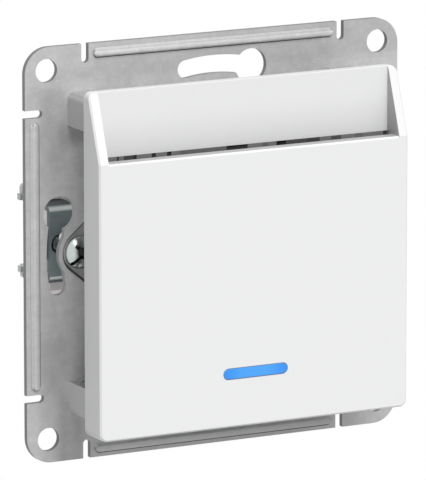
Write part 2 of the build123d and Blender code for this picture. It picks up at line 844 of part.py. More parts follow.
def biarc(p0, t0, p1, t1):
    """Two arcs that join two points with the given headings smoothly."""
    v = p1 - p0
    t = t0 + t1
    a = 2 * (1 - t0.dot(t1))
    b = 2 * v.dot(t)
    c = -v.dot(v)
    d = (-b + math.sqrt(b * b - 4 * a * c)) / (2 * a)
    middle = (p0 + p1 + (t0 - t1) * d) * 0.5
    return [Edge.make_tangent_arc(p0, t0, middle), Edge.make_tangent_arc(p1, t1 * -1, middle).reversed()]


def make_cap():
    """Front half of the switch base with the ears for the claw screws and the plunger's guide."""
    outline = RectangleRounded(base_x, base_z, base_corner_r)
    cap = slab(outline, cap_back, plate_front)
    ear_front = saddle_t - fit_gap
    ears = slab(nose_outline(ear_inset, base_x / 2 + fit_gap), ear_front + ear_t, ear_front)
    ears += slab(nose_outline(ear_inset, base_x / 2 - overrun), cap_back, ear_front)
    ear_end = claw_x + ear_beyond_screw
    ears -= block(ear_end, ear_end + nose_r, 0, cap_back + overrun, -nose_r, nose_r)
    cap += ears
    cap += mirror_x(ears)
    for sx in (-1, 1):
        cap -= rod(claw_screw_d / 2 + loose_gap, sx * claw_x, 0, -overrun, ear_front + ear_t + overrun)
    # clearance for the plate's bent lugs
    for sz in (-1, 1):
        for sx in (-1, 1):
            x = sx * lug_pitch / 2
            z0 = sz * (window_half - plate_t - seat_gap)
            z1 = sz * (base_z / 2 + overrun)
            half = lug_w / 2 + loose_gap
            cap -= block(x - half, x + half, plate_front - overrun, cap_back + overrun, min(z0, z1), max(z0, z1))
    guide = rod(plunger_guide_d / 2, 0, -plunger_z, cap_back, cap_back + plunger_guide_l)
    cap += guide
    cap -= rod(plunger_d / 2 + fit_gap, 0, -plunger_z, plate_front - overrun, cap_back + plunger_guide_l + overrun)
    cap -= rod(spring_well_d / 2, 0, -plunger_z, plate_front - overrun, plate_front + spring_well_depth)
    for sx in (-1, 1):
        x = sx * pin_pitch / 2
        cap -= square_bar(pin_d / 2 + fit_gap, x, -pin_z, plate_front - overrun, cap_back + overrun)
    for x, z in carrier_screws:
        cap -= rod(carrier_screw_d / 2 + seat_gap, x, z, plate_front - overrun, cap_back + overrun)
    return cap


def make_base():
    """Rear half of the switch base: shell, ramps for the claws, terminal cells and wire entries."""
    outline = RectangleRounded(base_x, base_z, base_corner_r)
    base = slab(outline, base_back, cap_back)
    rear_rim = base.edges().group_by(Axis.Y)[-1]
    base = chamfer(rear_rim, base_wall / 2)
    inner = RectangleRounded(base_x - 2 * base_wall, base_z - 2 * base_wall, base_corner_r - base_wall)
    base -= slab(inner, base_back - base_back_wall, cap_back - overrun)
    inner_back = base_back - base_back_wall
    # terminal cells and the bosses of the carrier's screws
    for x, sz in terminals:
        for sx in (-1, 1):
            wall_x = x + sx * (cell_half + cell_wall / 2)
            z0 = sz * (cage_floor_top - cage_floor_t - seat_gap)
            z1 = sz * (base_z / 2 - base_wall / 2)
            base += block(
                wall_x - cell_wall / 2, wall_x + cell_wall / 2, cell_front, inner_back + fit_gap,
                min(z0, z1), max(z0, z1),
            )
        z_low = sz * (cage_floor_top - cage_floor_t - seat_gap)
        z_shelf = z_low - sz * cell_wall
        base += block(
            x - cell_half - cell_wall, x + cell_half + cell_wall, cell_front, inner_back + fit_gap,
            min(z_low, z_shelf), max(z_low, z_shelf),
        )
    boss_r = carrier_screw_d
    boss_back = plate_front + carrier_screw_length
    for x, z in carrier_screws:
        base += square_bar(boss_r, x, z, cap_back, boss_back)
        base -= rod(carrier_screw_d / 2, x, z, cap_back - overrun, boss_back - boss_floor)
    # ramps and arm guides outside
    ramp = Polygon(*ramp_points(), align=None)
    arm_mid = claw_half_height - claw_sheet_t / 2
    for sx in (-1, 1):
        for sz in (-1, 1):
            wedge = extrude(Plane.XY.offset(arm_mid) * ramp, amount=ramp_w / 2, both=True)
            z0 = claw_half_height + loose_gap / 2
            rail = block(
                base_x / 2 - base_wall / 2, claw_x, arm_guide_front, arm_guide_back,
                z0, z0 + arm_guide_w,
            )
            for piece in (wedge, rail):
                piece = piece if sx > 0 else mirror_x(piece)
                piece = piece if sz > 0 else mirror_z(piece)
                base += piece
    # nubs that click into the lugs' slots
    slot_end = lug_length - lug_slot_from_end
    for sx in (-1, 1):
        for sz in (-1, 1):
            x = sx * lug_pitch / 2
            foot = base_z / 2 - base_wall / 2
            nub = Polygon(
                (slot_end - lug_slot_h + seat_gap, foot),
                (slot_end - lug_slot_h + seat_gap, base_z / 2 + nub_h / 2),
                (slot_end - lug_slot_h / 2, base_z / 2 + nub_h),
                (slot_end - seat_gap, base_z / 2 + nub_h),
                (slot_end - seat_gap, foot),
                align=None,
            )
            solid = side_bar(nub, nub_w / 2, x)
            base += solid if sz > 0 else mirror_z(solid)
    # driver holes above the terminal screws and wire entries from the rear
    for x, sz in terminals:
        base -= rod_z(driver_hole_d / 2, x, terminal_y, sz * (base_z / 2 - base_wall - overrun), sz * (base_z / 2 + overrun))
        wire_mid = sz * (cage_floor_top + bar_top - strip_t) / 2
        mouth = Pos(x, wire_mid) * Rectangle(wire_hole_w, wire_hole_w)
        base -= slab(mouth, base_back + overrun, inner_back - overrun)
        bell = Plane.XZ.offset(-base_back) * (
            Pos(x, wire_mid) * Rectangle(wire_hole_w + 2 * wire_hole_bell, wire_hole_w + 2 * wire_hole_bell)
        )
        throat = Plane.XZ.offset(-base_back + wire_hole_bell) * mouth
        base -= loft([bell.face(), throat.face()])
    return base


def make_rivet(back_y, front_y, x=0.0, z=0.0):
    """Contact rivet along Y, its rim bevelled towards front_y."""
    body = rod(rivet_d / 2, x, z, back_y, front_y)
    rim = body.edges().filter_by(GeomType.CIRCLE).sort_by(lambda e: abs(e.center().Y - front_y))[0]
    return chamfer(rim, rivet_dome)


def make_rocker():
    """Moving contact blade hung on a pin, with its rolled eye at the top."""
    y = rocker_pivot_y
    z = rocker_pivot_z
    bottom = rocker_rivet_z - rocker_tail
    blade = block(-blade_w / 2, blade_w / 2, y - blade_t / 2, y + blade_t / 2, bottom, z - rocker_pin_d)
    eye = rod_x(rocker_eye_d / 2, y, z, blade_w / 2)
    rocker = blade + eye
    return rocker - rod_x(rocker_pin_d / 2 + fit_gap, y, z, blade_w)


def make_rocker_rivets():
    """Rivet through the blade's lower end with a dome on both sides."""
    y = rocker_pivot_y
    z = rocker_rivet_z
    front = make_rivet(y - blade_t / 2, y - blade_t / 2 - rivet_h, 0, z)
    back = make_rivet(y + blade_t / 2, y + blade_t / 2 + rivet_h, 0, z)
    return front, back


def make_rocker_pin():
    half = blade_w / 2 + seat_gap + strip_t + loose_gap
    return rod_x(rocker_pin_d / 2, rocker_pivot_y, rocker_pivot_z, half)


def bar_tongue(x, sz, y0):
    """Flat bar that runs through a terminal's cage."""
    z0 = sz * (bar_top - strip_t)
    z1 = sz * bar_top
    return block(x - bar_w / 2, x + bar_w / 2, y0, bar_end_y, min(z0, z1), max(z0, z1))


def make_common_contact():
    """Bracket with two ears for the rocker's pin and a tongue into the upper terminal."""
    ear_in = blade_w / 2 + seat_gap
    ear_out = ear_in + strip_t
    y_back = rocker_pivot_y + rocker_eye_d / 2 + loose_gap + strip_t
    ear_r = rocker_eye_d / 2
    z_top = bar_top
    ear = Polygon(
        (rocker_pivot_y, rocker_pivot_z - ear_r), (y_back, rocker_pivot_z - ear_r),
        (y_back, z_top), (rocker_pivot_y + ear_r, z_top), (rocker_pivot_y, rocker_pivot_z + ear_r), align=None,
    )
    ear += Pos(rocker_pivot_y, rocker_pivot_z) * RegularPolygon(ear_r, 8, major_radius=False, rotation=22.5)
    part = bar_tongue(0, 1, y_back - strip_t)
    part += block(-ear_out, ear_out, y_back - strip_t, y_back, rocker_pivot_z - ear_r, z_top)
    for sx in (-1, 1):
        part += side_bar(ear, strip_t / 2, sx * (ear_in + strip_t / 2))
    return part - rod_x(rocker_pin_d / 2, rocker_pivot_y, rocker_pivot_z, ear_out + overrun)


def rest_contact_face():
    return rocker_pivot_y - blade_t / 2 - rivet_h - contact_gap


def work_contact_face():
    """Where the moving rivet's rear dome arrives at the end of the stroke."""
    low_edge = rocker_arm + rivet_d / 2
    reach = (blade_t / 2 + rivet_h) * math.cos(rocker_swing) + low_edge * math.sin(rocker_swing)
    return rocker_pivot_y + reach + contact_gap


def make_rest_contact():
    """Front contact strip that the rivet rests on without a card, led to the left lower terminal."""
    strip_back = rest_contact_face() - rivet_h
    z0 = rocker_rivet_z - contact_strip_w / 2
    z1 = -bar_top
    side = terminal_x - bar_w / 2
    turn = side - seat_gap
    strip_front = strip_back - strip_t
    tab_y = cell_front - seat_gap
    part = block(-turn, blade_w / 2, strip_front, strip_back, z0, z1)
    part += block(-turn - strip_t, -turn, strip_front, tab_y, z0, z1)
    part += block(-side - strip_t, -turn, tab_y - contact_strip_w, tab_y, z1, z1 + strip_t)
    return part + bar_tongue(-terminal_x, -1, tab_y - contact_strip_w)


def make_work_contact():
    """Rear contact strip that a card closes, led to the right lower terminal."""
    strip_front = work_contact_face() + rivet_h
    strip_back = strip_front + strip_t
    z0 = rocker_rivet_z - contact_strip_w / 2
    z1 = -bar_top
    part = block(-blade_w / 2, terminal_x - bar_w / 2 + strip_t, strip_front, strip_back, z0, z1)
    return part + bar_tongue(terminal_x, -1, strip_front)


def make_cage(x, sz):
    """Square clamp tube along Y with a thick threaded roof, open over the wire."""
    half = cage_inner_w / 2
    outer_half = half + cage_wall
    z_low = cage_floor_top - cage_floor_t
    outline = Pos(x, (z_low + cage_top) / 2) * Rectangle(2 * outer_half, cage_top - z_low)
    outline = chamfer(outline.vertices(), cage_edge)
    roof = cage_top - cage_cap_t
    hollow = Pos(x, (cage_floor_top + roof) / 2) * Rectangle(cage_inner_w, roof - cage_floor_top)
    cage = slab(outline - hollow, terminal_y + cage_length / 2, terminal_y - cage_length / 2)
    cage -= rod_z(terminal_screw_d / 2 + fit_gap, x, terminal_y, roof - overrun, cage_top + overrun)
    return cage if sz > 0 else mirror_z(cage)


def make_terminal_screw(x, sz):
    """Captive clamp screw with a slotted head, its tip on the bar."""
    head_top = base_z / 2 - base_wall - seat_gap
    head_low = head_top - terminal_head_h
    head = rod_z(terminal_head_d / 2, x, terminal_y, head_low, head_top)
    screw = head + rod_z(terminal_screw_d / 2, x, terminal_y, bar_top + fit_gap, head_low)
    slot = block(
        x - terminal_head_d, x + terminal_head_d, terminal_y - terminal_slot_w / 2, terminal_y + terminal_slot_w / 2,
        head_top - terminal_slot_depth, head_top + overrun,
    )
    screw -= slot
    return screw if sz > 0 else mirror_z(screw)


def make_lens():
    """Indicator window: round-ended bar flush with the cover, on a wider flange behind it."""
    front = -cover_front
    inner = front + cover_wall
    window = Pos(0, -window_slot_z) * SlotOverall(window_slot_l, window_slot_h)
    flange = Pos(0, -window_slot_z) * SlotOverall(window_slot_l + 2 * lens_flange, window_slot_h + 2 * lens_flange)
    return slab(window, inner, front) + slab(flange, inner + lens_flange_t, inner + fit_gap / 2) + slab(
        window, inner + lens_flange_t / 2, inner - fit_gap
    )


def make_light_guide():
    front = -cover_front + cover_wall + lens_flange_t + light_guide_gap
    guide = slab(Pos(0, -window_slot_z) * Rectangle(light_guide_l, light_guide_h), -light_guide_back, front)
    half = led_dome_d / 2 + loose_gap
    return guide - square_bar(half, 0, -window_slot_z, -light_guide_back - half, -light_guide_back + overrun)


def make_led():
    back = -light_guide_back + led_t + light_guide_gap
    body = block(
        -led_w / 2, led_w / 2, back - led_t, back, -window_slot_z - led_h / 2, -window_slot_z + led_h / 2
    )
    dome = rod(led_dome_d / 2, 0, -window_slot_z, back - led_t, back - led_t - led_dome_d / 2)
    return body + chamfer(dome.edges().group_by(Axis.Y)[0], led_dome_d / 4)


def make_board():
    front = -light_guide_back + led_t + light_guide_gap
    top = board_above_pins - pin_z
    bottom = -window_slot_z - board_below_window
    board = slab(Pos(0, (top + bottom) / 2) * Rectangle(board_w, top - bottom), front + board_t, front)
    for sx in (-1, 1):
        board -= square_bar(pin_d / 2, sx * pin_pitch / 2, -pin_z, front - overrun, front + board_t + overrun)
    return board


def make_resistor():
    """Small resistor lying on the board, eight-sided, with its two leads."""
    y = -light_guide_back + led_t + light_guide_gap - resistor_d / 2 - fit_gap
    x = resistor_x + resistor_l / 2 - resistor_lead_l / 2
    z = -window_slot_z - light_guide_h / 2 - resistor_d / 2 - loose_gap / 2
    body = side_bar(Pos(y, z) * RegularPolygon(resistor_d / 2, 8), resistor_l / 2, x)
    span = resistor_l / 2 + resistor_lead_l / 2
    half = resistor_lead_d / 2
    part = body + block(x - span, x + span, y - half, y + half, z - half, z + half)
    for sx in (-1, 1):
        part += square_bar(half, x + sx * (span - half), z, y, y + resistor_d / 2 + fit_gap)
    return part


def make_indicator_pin(sx):
    """Pin from the lamp's board back into the switch base."""
    front = -light_guide_back + led_t + light_guide_gap - board_t / 2
    pin = square_bar(pin_d / 2, sx * pin_pitch / 2, -pin_z, front, pin_end_y + pin_d)
    return chamfer(pin.edges().group_by(Axis.Y)[-1], pin_tip / 2)


def make_carrier_screw(x, z):
    """Screw that clamps carrier, cap and base together, without thread and recess."""
    front = carrier_floor_front
    tip = plate_front + carrier_screw_length - 2 * boss_floor
    head = rod(carrier_screw_head_d / 2, x, z, front - carrier_screw_head_h, front)
    return head + rod(carrier_screw_d / 2, x, z, front - fit_gap, tip)


def as_one(shape):
    """The single solid of a shape, so that each file holds one piece."""
    solids = shape.solids()
    solids = sorted(solids, key=lambda s: s.volume)
    return solids[-1]


parts = {}
parts["mounting_plate"] = make_mounting_plate()
parts["card_cover"] = make_cover()
parts["cover_carrier"] = make_carrier()
parts["card_guide"] = make_card_guide()
parts["card_lever"] = make_lever()
parts["lever_pin"] = make_lever_pin()
parts["plunger"] = make_plunger()
parts["plunger_spring"] = make_plunger_spring()
parts["base_cap"] = make_cap()
parts["switch_base"] = make_base()
parts["contact_rocker"] = make_rocker()
rivet_front, rivet_rear = make_rocker_rivets()
parts["rocker_rivet_front"] = rivet_front
parts["rocker_rivet_rear"] = rivet_rear
parts["rocker_pin"] = make_rocker_pin()
parts["common_contact"] = make_common_contact()
parts["rest_contact"] = make_rest_contact()
parts["rest_rivet"] = make_rivet(rest_contact_face() - rivet_h, rest_contact_face(), 0, rocker_rivet_z)
parts["work_contact"] = make_work_contact()
parts["work_rivet"] = make_rivet(work_contact_face() + rivet_h, work_contact_face(), 0, rocker_rivet_z)
for number, (x, sz) in enumerate(terminals, 1):
    parts[f"terminal_cage_{number}"] = make_cage(x, sz)
    parts[f"terminal_screw_{number}"] = make_terminal_screw(x, sz)
for side, name in ((1, "right"), (-1, "left")):
    for label, maker in (
        ("screw_saddle", make_saddle), ("claw_screw", make_claw_screw),
        ("claw_nut", make_claw_nut), ("claw", make_claw),
    ):
        piece = maker()
        parts[f"{label}_{name}"] = piece if side > 0 else Rot(0, 180, 0) * piece
parts["indicator_lens"] = make_lens()
parts["light_guide"] = make_light_guide()
parts["led"] = make_led()
parts["indicator_board"] = make_board()
parts["resistor"] = make_resistor()
parts["indicator_pin_right"] = make_indicator_pin(1)
parts["indicator_pin_left"] = make_indicator_pin(-1)
for number, (x, z) in enumerate(carrier_screws, 1):
    parts[f"carrier_screw_{number}"] = make_carrier_screw(x, z)

os.makedirs("parts", exist_ok=True)
for name, shape in parts.items():
    solid = as_one(shape)
    solid.label = name
    export_step(solid, f"parts/{name}.step")
print("pieces", len(parts))
print("card lever swing, radians", round(swing, 5), "plunger travel", round(plunger_travel, 4))
print("plunger ratio", lever_arm_to_plunger, "rocker ratio", lever_arm_to_plunger / rocker_arm_to_plunger)
print("rocker swing, degrees", round(math.degrees(rocker_swing), 4))
print("claw travel", claw_travel, "terminal cage travel", cage_travel)
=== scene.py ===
import math

import bpy
import numpy as np
from mathutils import Matrix, Vector


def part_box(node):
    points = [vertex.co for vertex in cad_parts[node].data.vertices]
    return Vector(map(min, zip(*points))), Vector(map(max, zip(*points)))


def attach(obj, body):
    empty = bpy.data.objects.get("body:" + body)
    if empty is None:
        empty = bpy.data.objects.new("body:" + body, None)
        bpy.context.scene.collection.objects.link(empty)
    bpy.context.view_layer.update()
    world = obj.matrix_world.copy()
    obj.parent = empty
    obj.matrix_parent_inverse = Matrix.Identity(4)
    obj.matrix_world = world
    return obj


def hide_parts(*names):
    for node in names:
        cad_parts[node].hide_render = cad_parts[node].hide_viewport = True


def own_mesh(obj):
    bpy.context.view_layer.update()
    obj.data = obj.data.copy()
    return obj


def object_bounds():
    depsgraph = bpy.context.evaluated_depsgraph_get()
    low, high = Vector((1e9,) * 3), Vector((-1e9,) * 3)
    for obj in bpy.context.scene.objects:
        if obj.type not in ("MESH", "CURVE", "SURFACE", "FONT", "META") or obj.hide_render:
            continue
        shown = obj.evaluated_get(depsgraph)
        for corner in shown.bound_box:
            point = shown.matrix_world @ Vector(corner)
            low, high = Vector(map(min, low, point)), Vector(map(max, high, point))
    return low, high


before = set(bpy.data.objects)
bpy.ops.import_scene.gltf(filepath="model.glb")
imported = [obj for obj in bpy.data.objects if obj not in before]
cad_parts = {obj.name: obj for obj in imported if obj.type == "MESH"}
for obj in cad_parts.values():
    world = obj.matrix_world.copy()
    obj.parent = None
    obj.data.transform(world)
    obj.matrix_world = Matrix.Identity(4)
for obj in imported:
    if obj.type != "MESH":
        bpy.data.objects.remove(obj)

cad_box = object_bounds()

# Camera
# The photograph is taken from the left and a little above with a long lens, so upright edges stay
# parallel. The place and the lens come from fitting the plate's and the cover's corners.
eye = Vector((-0.4870886, -0.9267980, 0.2131695))
look = Vector((0.4560824, 0.8672036, -0.1998669))
right = Vector((0.8850039, -0.4655831, -0.0006037))
up = Vector((0.0935782, 0.1766076, 0.9798229))
camera_data = bpy.data.cameras.new("camera")
camera_data.sensor_fit = "HORIZONTAL"
camera_data.sensor_width = 36.0
camera_data.lens = 531.851
camera_data.clip_end = 10.0
camera = bpy.data.objects.new("camera", camera_data)
bpy.context.scene.collection.objects.link(camera)
camera.matrix_world = Matrix.Translation(eye) @ Matrix((right, up, -look)).transposed().to_4x4()
bpy.context.scene.camera = camera

# Support plate
# A square of galvanised sheet steel, punched, with lugs bent back around its window, and screwed to
# the wall box through its keyholes. The zinc coat is matte grey with pale crystals, fine specks and
# a faint sideways grain, and the punched edges are darker.
mm = 0.001


def add_node(tree, kind, inputs=None, **settings):
    """A shader node with its settings, and its inputs fed with sockets or plain values."""
    item = tree.nodes.new(kind)
    for key, value in settings.items():
        setattr(item, key, value)
    for key, value in (inputs or {}).items():
        if isinstance(value, bpy.types.NodeSocket):
            tree.links.new(value, item.inputs[key])
        else:
            item.inputs[key].default_value = value
    return item


def new_group(name, inputs, outputs):
    """An empty node group with named inputs and outputs, its input node and its output node."""
    group = bpy.data.node_groups.new(name, "ShaderNodeTree")
    for label, kind, value in inputs:
        socket = group.interface.new_socket(name=label, in_out="INPUT", socket_type=kind)
        socket.default_value = value
    for label, kind in outputs:
        group.interface.new_socket(name=label, in_out="OUTPUT", socket_type=kind)
    return group, group.nodes.new("NodeGroupInput"), group.nodes.new("NodeGroupOutput")


def put_out(group, group_out, **results):
    """Links a group's results to its outputs."""
    for key, result in results.items():
        group.links.new(result, group_out.inputs[key])


def mix_colours(tree, mask, first, second, blend="MIX"):
    """A colour mix of two sockets or plain colours by a mask. The node's mask is its input 0, its
    colours are inputs 6 and 7, and its result is output 2."""
    inputs = {0: mask, 6: first, 7: second}
    return add_node(tree, "ShaderNodeMix", inputs, data_type="RGBA", blend_type=blend).outputs[2]


def remap(tree, value, low, high, to_low=0.0, to_high=1.0):
    """A value between low and high brought in a smooth step to the range to_low to to_high."""
    ends = {"Value": value, "From Min": low, "From Max": high, "To Min": to_low, "To Max": to_high}
    item = add_node(tree, "ShaderNodeMapRange", ends, interpolation_type="SMOOTHSTEP")
    return item.outputs["Result"]


def maths(tree, operation, first, second=0.0):
    """One step of arithmetic on sockets or numbers."""
    return add_node(tree, "ShaderNodeMath", {0: first, 1: second}, operation=operation).outputs[0]


def product(tree, first, *others):
    """Sockets or numbers multiplied."""
    for other in others:
        first = maths(tree, "MULTIPLY", first, other)
    return first


def total(tree, first, *others):
    """Sockets or numbers added up."""
    for other in others:
        first = maths(tree, "ADD", first, other)
    return first


def above(tree, value, limit):
    """1 where a value is above a limit, 0 elsewhere."""
    return maths(tree, "GREATER_THAN", value, limit)


def below(tree, value, limit):
    """1 where a value is below a limit, 0 elsewhere."""
    return maths(tree, "LESS_THAN", value, limit)


def distance_from(tree, value, middle=0.0):
    """How far a value is from a middle, on either side."""
    if middle:
        value = maths(tree, "SUBTRACT", value, middle)
    return maths(tree, "ABSOLUTE", value)


def part_along(tree, vector, axis):
    """A vector's part along one axis."""
    return add_node(tree, "ShaderNodeSeparateXYZ", {"Vector": vector}).outputs[axis]


def object_place(tree):
    """The surface's place in the part's own frame, in metres."""
    return add_node(tree, "ShaderNodeTexCoord").outputs["Object"]


def place_along(tree, axis):
    """The surface's place along one axis, in metres."""
    return part_along(tree, object_place(tree), axis)


def normal_along(tree, axis):
    """The part of the surface's normal along one axis, from -1 to 1."""
    return part_along(tree, add_node(tree, "ShaderNodeNewGeometry").outputs["Normal"], axis)


def noise(tree, place, scale, **extra):
    """A noise of so many features in a metre, which lies mostly between 0.3 and 0.7."""
    return add_node(tree, "ShaderNodeTexNoise", {"Vector": place, "Scale": scale, **extra}).outputs["Fac"]


def spread(tree, uneven, to_low=-1.0, to_high=1.0):
    """A noise brought to a range of its own."""
    return remap(tree, uneven, 0.3, 0.7, to_low, to_high)


def scaled_colour(tree, base, factor):
    """A colour multiplied by one number."""
    channels = {"Red": factor, "Green": factor, "Blue": factor}
    as_colour = add_node(tree, "ShaderNodeCombineColor", channels).outputs["Color"]
    return mix_colours(tree, 1.0, base, as_colour, "MULTIPLY")


# The coat's clouds and crystals, its specks and its grain each change the colour by a share of their
# own. The specks weaken from 30 mm above the middle down to 4 mm, and the roughness follows a part
# of the change.
colour = "NodeSocketColor"
number = "NodeSocketFloat"
grey = (0.5, 0.5, 0.5, 1.0)
finish = [("Color", colour), ("Roughness", number), ("Height", number)]
metal_coat, coat_in, coat_out = new_group(
    "metal_coat",
    [("Base", colour, grey), ("Cloud", number, 0.2), ("Speck", number, 0.2), ("Grain", number, 0.1),
     ("Rough", number, 0.5)],
    finish,
)
roughness_follows = 0.35
place = object_place(metal_coat)
long_specks = {"Vector": place, "Rotation": (0.0, 0.6, 0.0), "Scale": (1.0, 1.0, 2.4)}
speck_place = add_node(metal_coat, "ShaderNodeMapping", long_specks).outputs["Vector"]
long_streaks = {"Vector": place, "Scale": (260.0, 1500.0, 2400.0)}
streak_place = add_node(metal_coat, "ShaderNodeMapping", long_streaks).outputs["Vector"]
cells = {"Vector": place, "Scale": 900.0, "Randomness": 1.0}
crystal = add_node(metal_coat, "ShaderNodeTexVoronoi", cells).outputs["Distance"]
facet = remap(metal_coat, crystal, 0.1, 0.8, 0.5, -0.5)
cloud = spread(metal_coat, noise(metal_coat, place, 420.0, Detail=5.0, Roughness=0.62))
speck = remap(metal_coat, noise(metal_coat, speck_place, 1900.0, Detail=3.0, Roughness=0.7), 0.58, 0.7)
upper = remap(metal_coat, part_along(metal_coat, place, "Z"), 4.0 * mm, 30.0 * mm, 0.3, 1.0)
fine = product(metal_coat, speck, upper)
streak = spread(metal_coat, noise(metal_coat, streak_place, 1.0, Detail=3.0))
change = total(
    metal_coat,
    product(metal_coat, total(metal_coat, cloud, facet), coat_in.outputs["Cloud"]),
    product(metal_coat, fine, coat_in.outputs["Speck"]),
    product(metal_coat, streak, coat_in.outputs["Grain"]),
)
put_out(
    metal_coat, coat_out,
    Color=scaled_colour(metal_coat, coat_in.outputs["Base"], total(metal_coat, change, 1.0)),
    Roughness=total(metal_coat, coat_in.outputs["Rough"], product(metal_coat, change, roughness_follows)),
    Height=total(metal_coat, change, fine),
)


def covered_material(name, group, values, metallic=0.0, bump=0.01 * mm, strength=0.3, **extra):
    """A material whose colour, roughness and height come from a group. Extra values go to the
    shader's own inputs, with an underscore for each space in their names."""
    material = bpy.data.materials.new(name)
    material.use_nodes = True
    tree = material.node_tree
    shader = tree.nodes["Principled BSDF"]
    cover = add_node(tree, "ShaderNodeGroup", values, node_tree=group)
    tree.links.new(cover.outputs["Color"], shader.inputs["Base Color"])
    tree.links.new(cover.outputs["Roughness"], shader.inputs["Roughness"])
    relief = {"Strength": strength, "Distance": bump, "Height": cover.outputs["Height"]}
    tree.links.new(add_node(tree, "ShaderNodeBump", relief).outputs["Normal"], shader.inputs["Normal"])
    shader.inputs["Metallic"].default_value = metallic
    for key, value in extra.items():
        shader.inputs[key.replace("_", " ")].default_value = value
    return material


def paint(material, *nodes):
    """Gives CAD nodes a material."""
    for name in nodes:
        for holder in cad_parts[name].material_slots:
            holder.material = material


def tinted(tree, plain, mask, tint):
    """A colour multiplied by a tint in the share of a mask. A tint is one number, or one each for
    red, green and blue, and it lightens where it is above 1."""
    shade = tint if isinstance(tint, tuple) else (tint, tint, tint)
    return mix_colours(tree, mask, plain, mix_colours(tree, 1.0, plain, (*shade, 1.0), "MULTIPLY"))


def tint_where(material, masked_by, tint):
    """Tints a material's colour by the mask that masked_by makes in its tree. Where the masks lie
    and how strong the tints are was matched to the tones in the photograph."""
    tree = material.node_tree
    base = tree.nodes["Principled BSDF"].inputs["Base Color"]
    tree.links.new(tinted(tree, base.links[0].from_socket, masked_by(tree), tint), base)


def band(tree, value, start, full, full_end=None, end=None):
    """Rises in a smooth step from 0 at start to 1 at full, whichever of the two is larger. Where two
    more are given, it falls from 1 at full_end to 0 at end. All are in millimetres."""
    rising = remap(tree, value, start * mm, full * mm)
    if full_end is None:
        return rising
    return product(tree, rising, remap(tree, value, full_end * mm, end * mm, 1.0, 0.0))


def shade_towards_right(tree):
    """0 at the sheet's left edge and 1 at its right edge: painted shade that darkens the sheet towards the
    right.
    """
    return band(tree, place_along(tree, "X"), -36.0, 40.0)


def shade_towards_foot(tree):
    """0 at the sheet's middle and 1 at its lower edge: painted shade that darkens the sheet towards its
    foot.
    """
    return band(tree, place_along(tree, "Z"), 0.0, -36.0)


def painted_light_left_strip(tree):
    """0 near the left edge and 1 from the cover's left side on, over the middle of the height. Painted
    light lifts the sheet there."""
    height = distance_from(tree, place_along(tree, "Z"))
    return product(tree, band(tree, place_along(tree, "X"), -31.0, -25.2), band(tree, height, 31.0, 24.0))


def shade_by_left_rib(tree):
    """1 on the strip between the left rib and the cover, above and below the keyhole and not in the
    upper corner: painted shade that darkens the sheet a little there."""
    strip = band(tree, place_along(tree, "X"), -34.0, -32.0, -29.0, -27.0)
    off_keyhole = band(tree, distance_from(tree, place_along(tree, "Z")), 12.0, 17.0)
    return product(tree, strip, off_keyhole, band(tree, place_along(tree, "Z"), 29.5, 26.5))


def shade_lower_left(tree):
    """1 on a strip next to the cover in the lower left corner: a painted shadow of the cover."""
    strip = band(tree, place_along(tree, "X"), -31.0, -28.5, -26.0, -24.0)
    return product(tree, strip, band(tree, place_along(tree, "Z"), -20.0, -27.0))


def light_lower_right(tree):
    """1 in the lower right corner: painted light that lifts the sheet there."""
    across = band(tree, place_along(tree, "X"), 14.0, 24.0)
    return product(tree, across, band(tree, place_along(tree, "Z"), -28.0, -31.0))


def post_shadow(tree):
    """1 at the height of the upper posts, from next to the left one on: a painted shadow of the
    left post on the sheet beside it."""
    level = band(tree, place_along(tree, "Z"), 17.0, 20.0, 25.0, 29.0)
    return product(tree, level, band(tree, place_along(tree, "X"), -30.5, -28.0))


def punched_edge(tree):
    """1 on faces that stand across the sheet, and 0 on its front and rear."""
    return remap(tree, distance_from(tree, normal_along(tree, "Y")), 0.15, 0.5, 1.0, 0.0)


# Painted shade over the whole sheet, towards its right edge and towards its foot, which its ribs share
sheet_painted_shade, tone_in, tone_out = new_group("sheet_painted_shade", [("Color", colour, grey)], [("Color", colour)])
right_shaded = tinted(sheet_painted_shade, tone_in.outputs["Color"], shade_towards_right(sheet_painted_shade), 0.84)
put_out(sheet_painted_shade, tone_out, Color=tinted(sheet_painted_shade, right_shaded, shade_towards_foot(sheet_painted_shade), 0.90))


def pass_through(material, group):
    """Sends a material's colour through a group."""
    tree = material.node_tree
    base = tree.nodes["Principled BSDF"].inputs["Base Color"]
    through = add_node(tree, "ShaderNodeGroup", {"Color": base.links[0].from_socket}, node_tree=group)
    tree.links.new(through.outputs["Color"], base)


zinc = covered_material(
    "galvanised_sheet", metal_coat,
    {"Base": (0.53, 0.53, 0.528, 1.0), "Cloud": 0.05, "Speck": 0.30, "Grain": 0.012, "Rough": 0.5},
    metallic=0.3, bump=0.03 * mm,
)
# Painted shadows of the post and the cover, painted shade and painted light, tinted in by place
tint_where(zinc, post_shadow, 0.74)
tint_where(zinc, shade_by_left_rib, 0.87)
tint_where(zinc, shade_lower_left, 0.78)
tint_where(zinc, light_lower_right, 1.2)
pass_through(zinc, sheet_painted_shade)
tint_where(zinc, painted_light_left_strip, 1.6)
tint_where(zinc, punched_edge, (0.40, 0.40, 0.41))
paint(zinc, "mounting_plate")
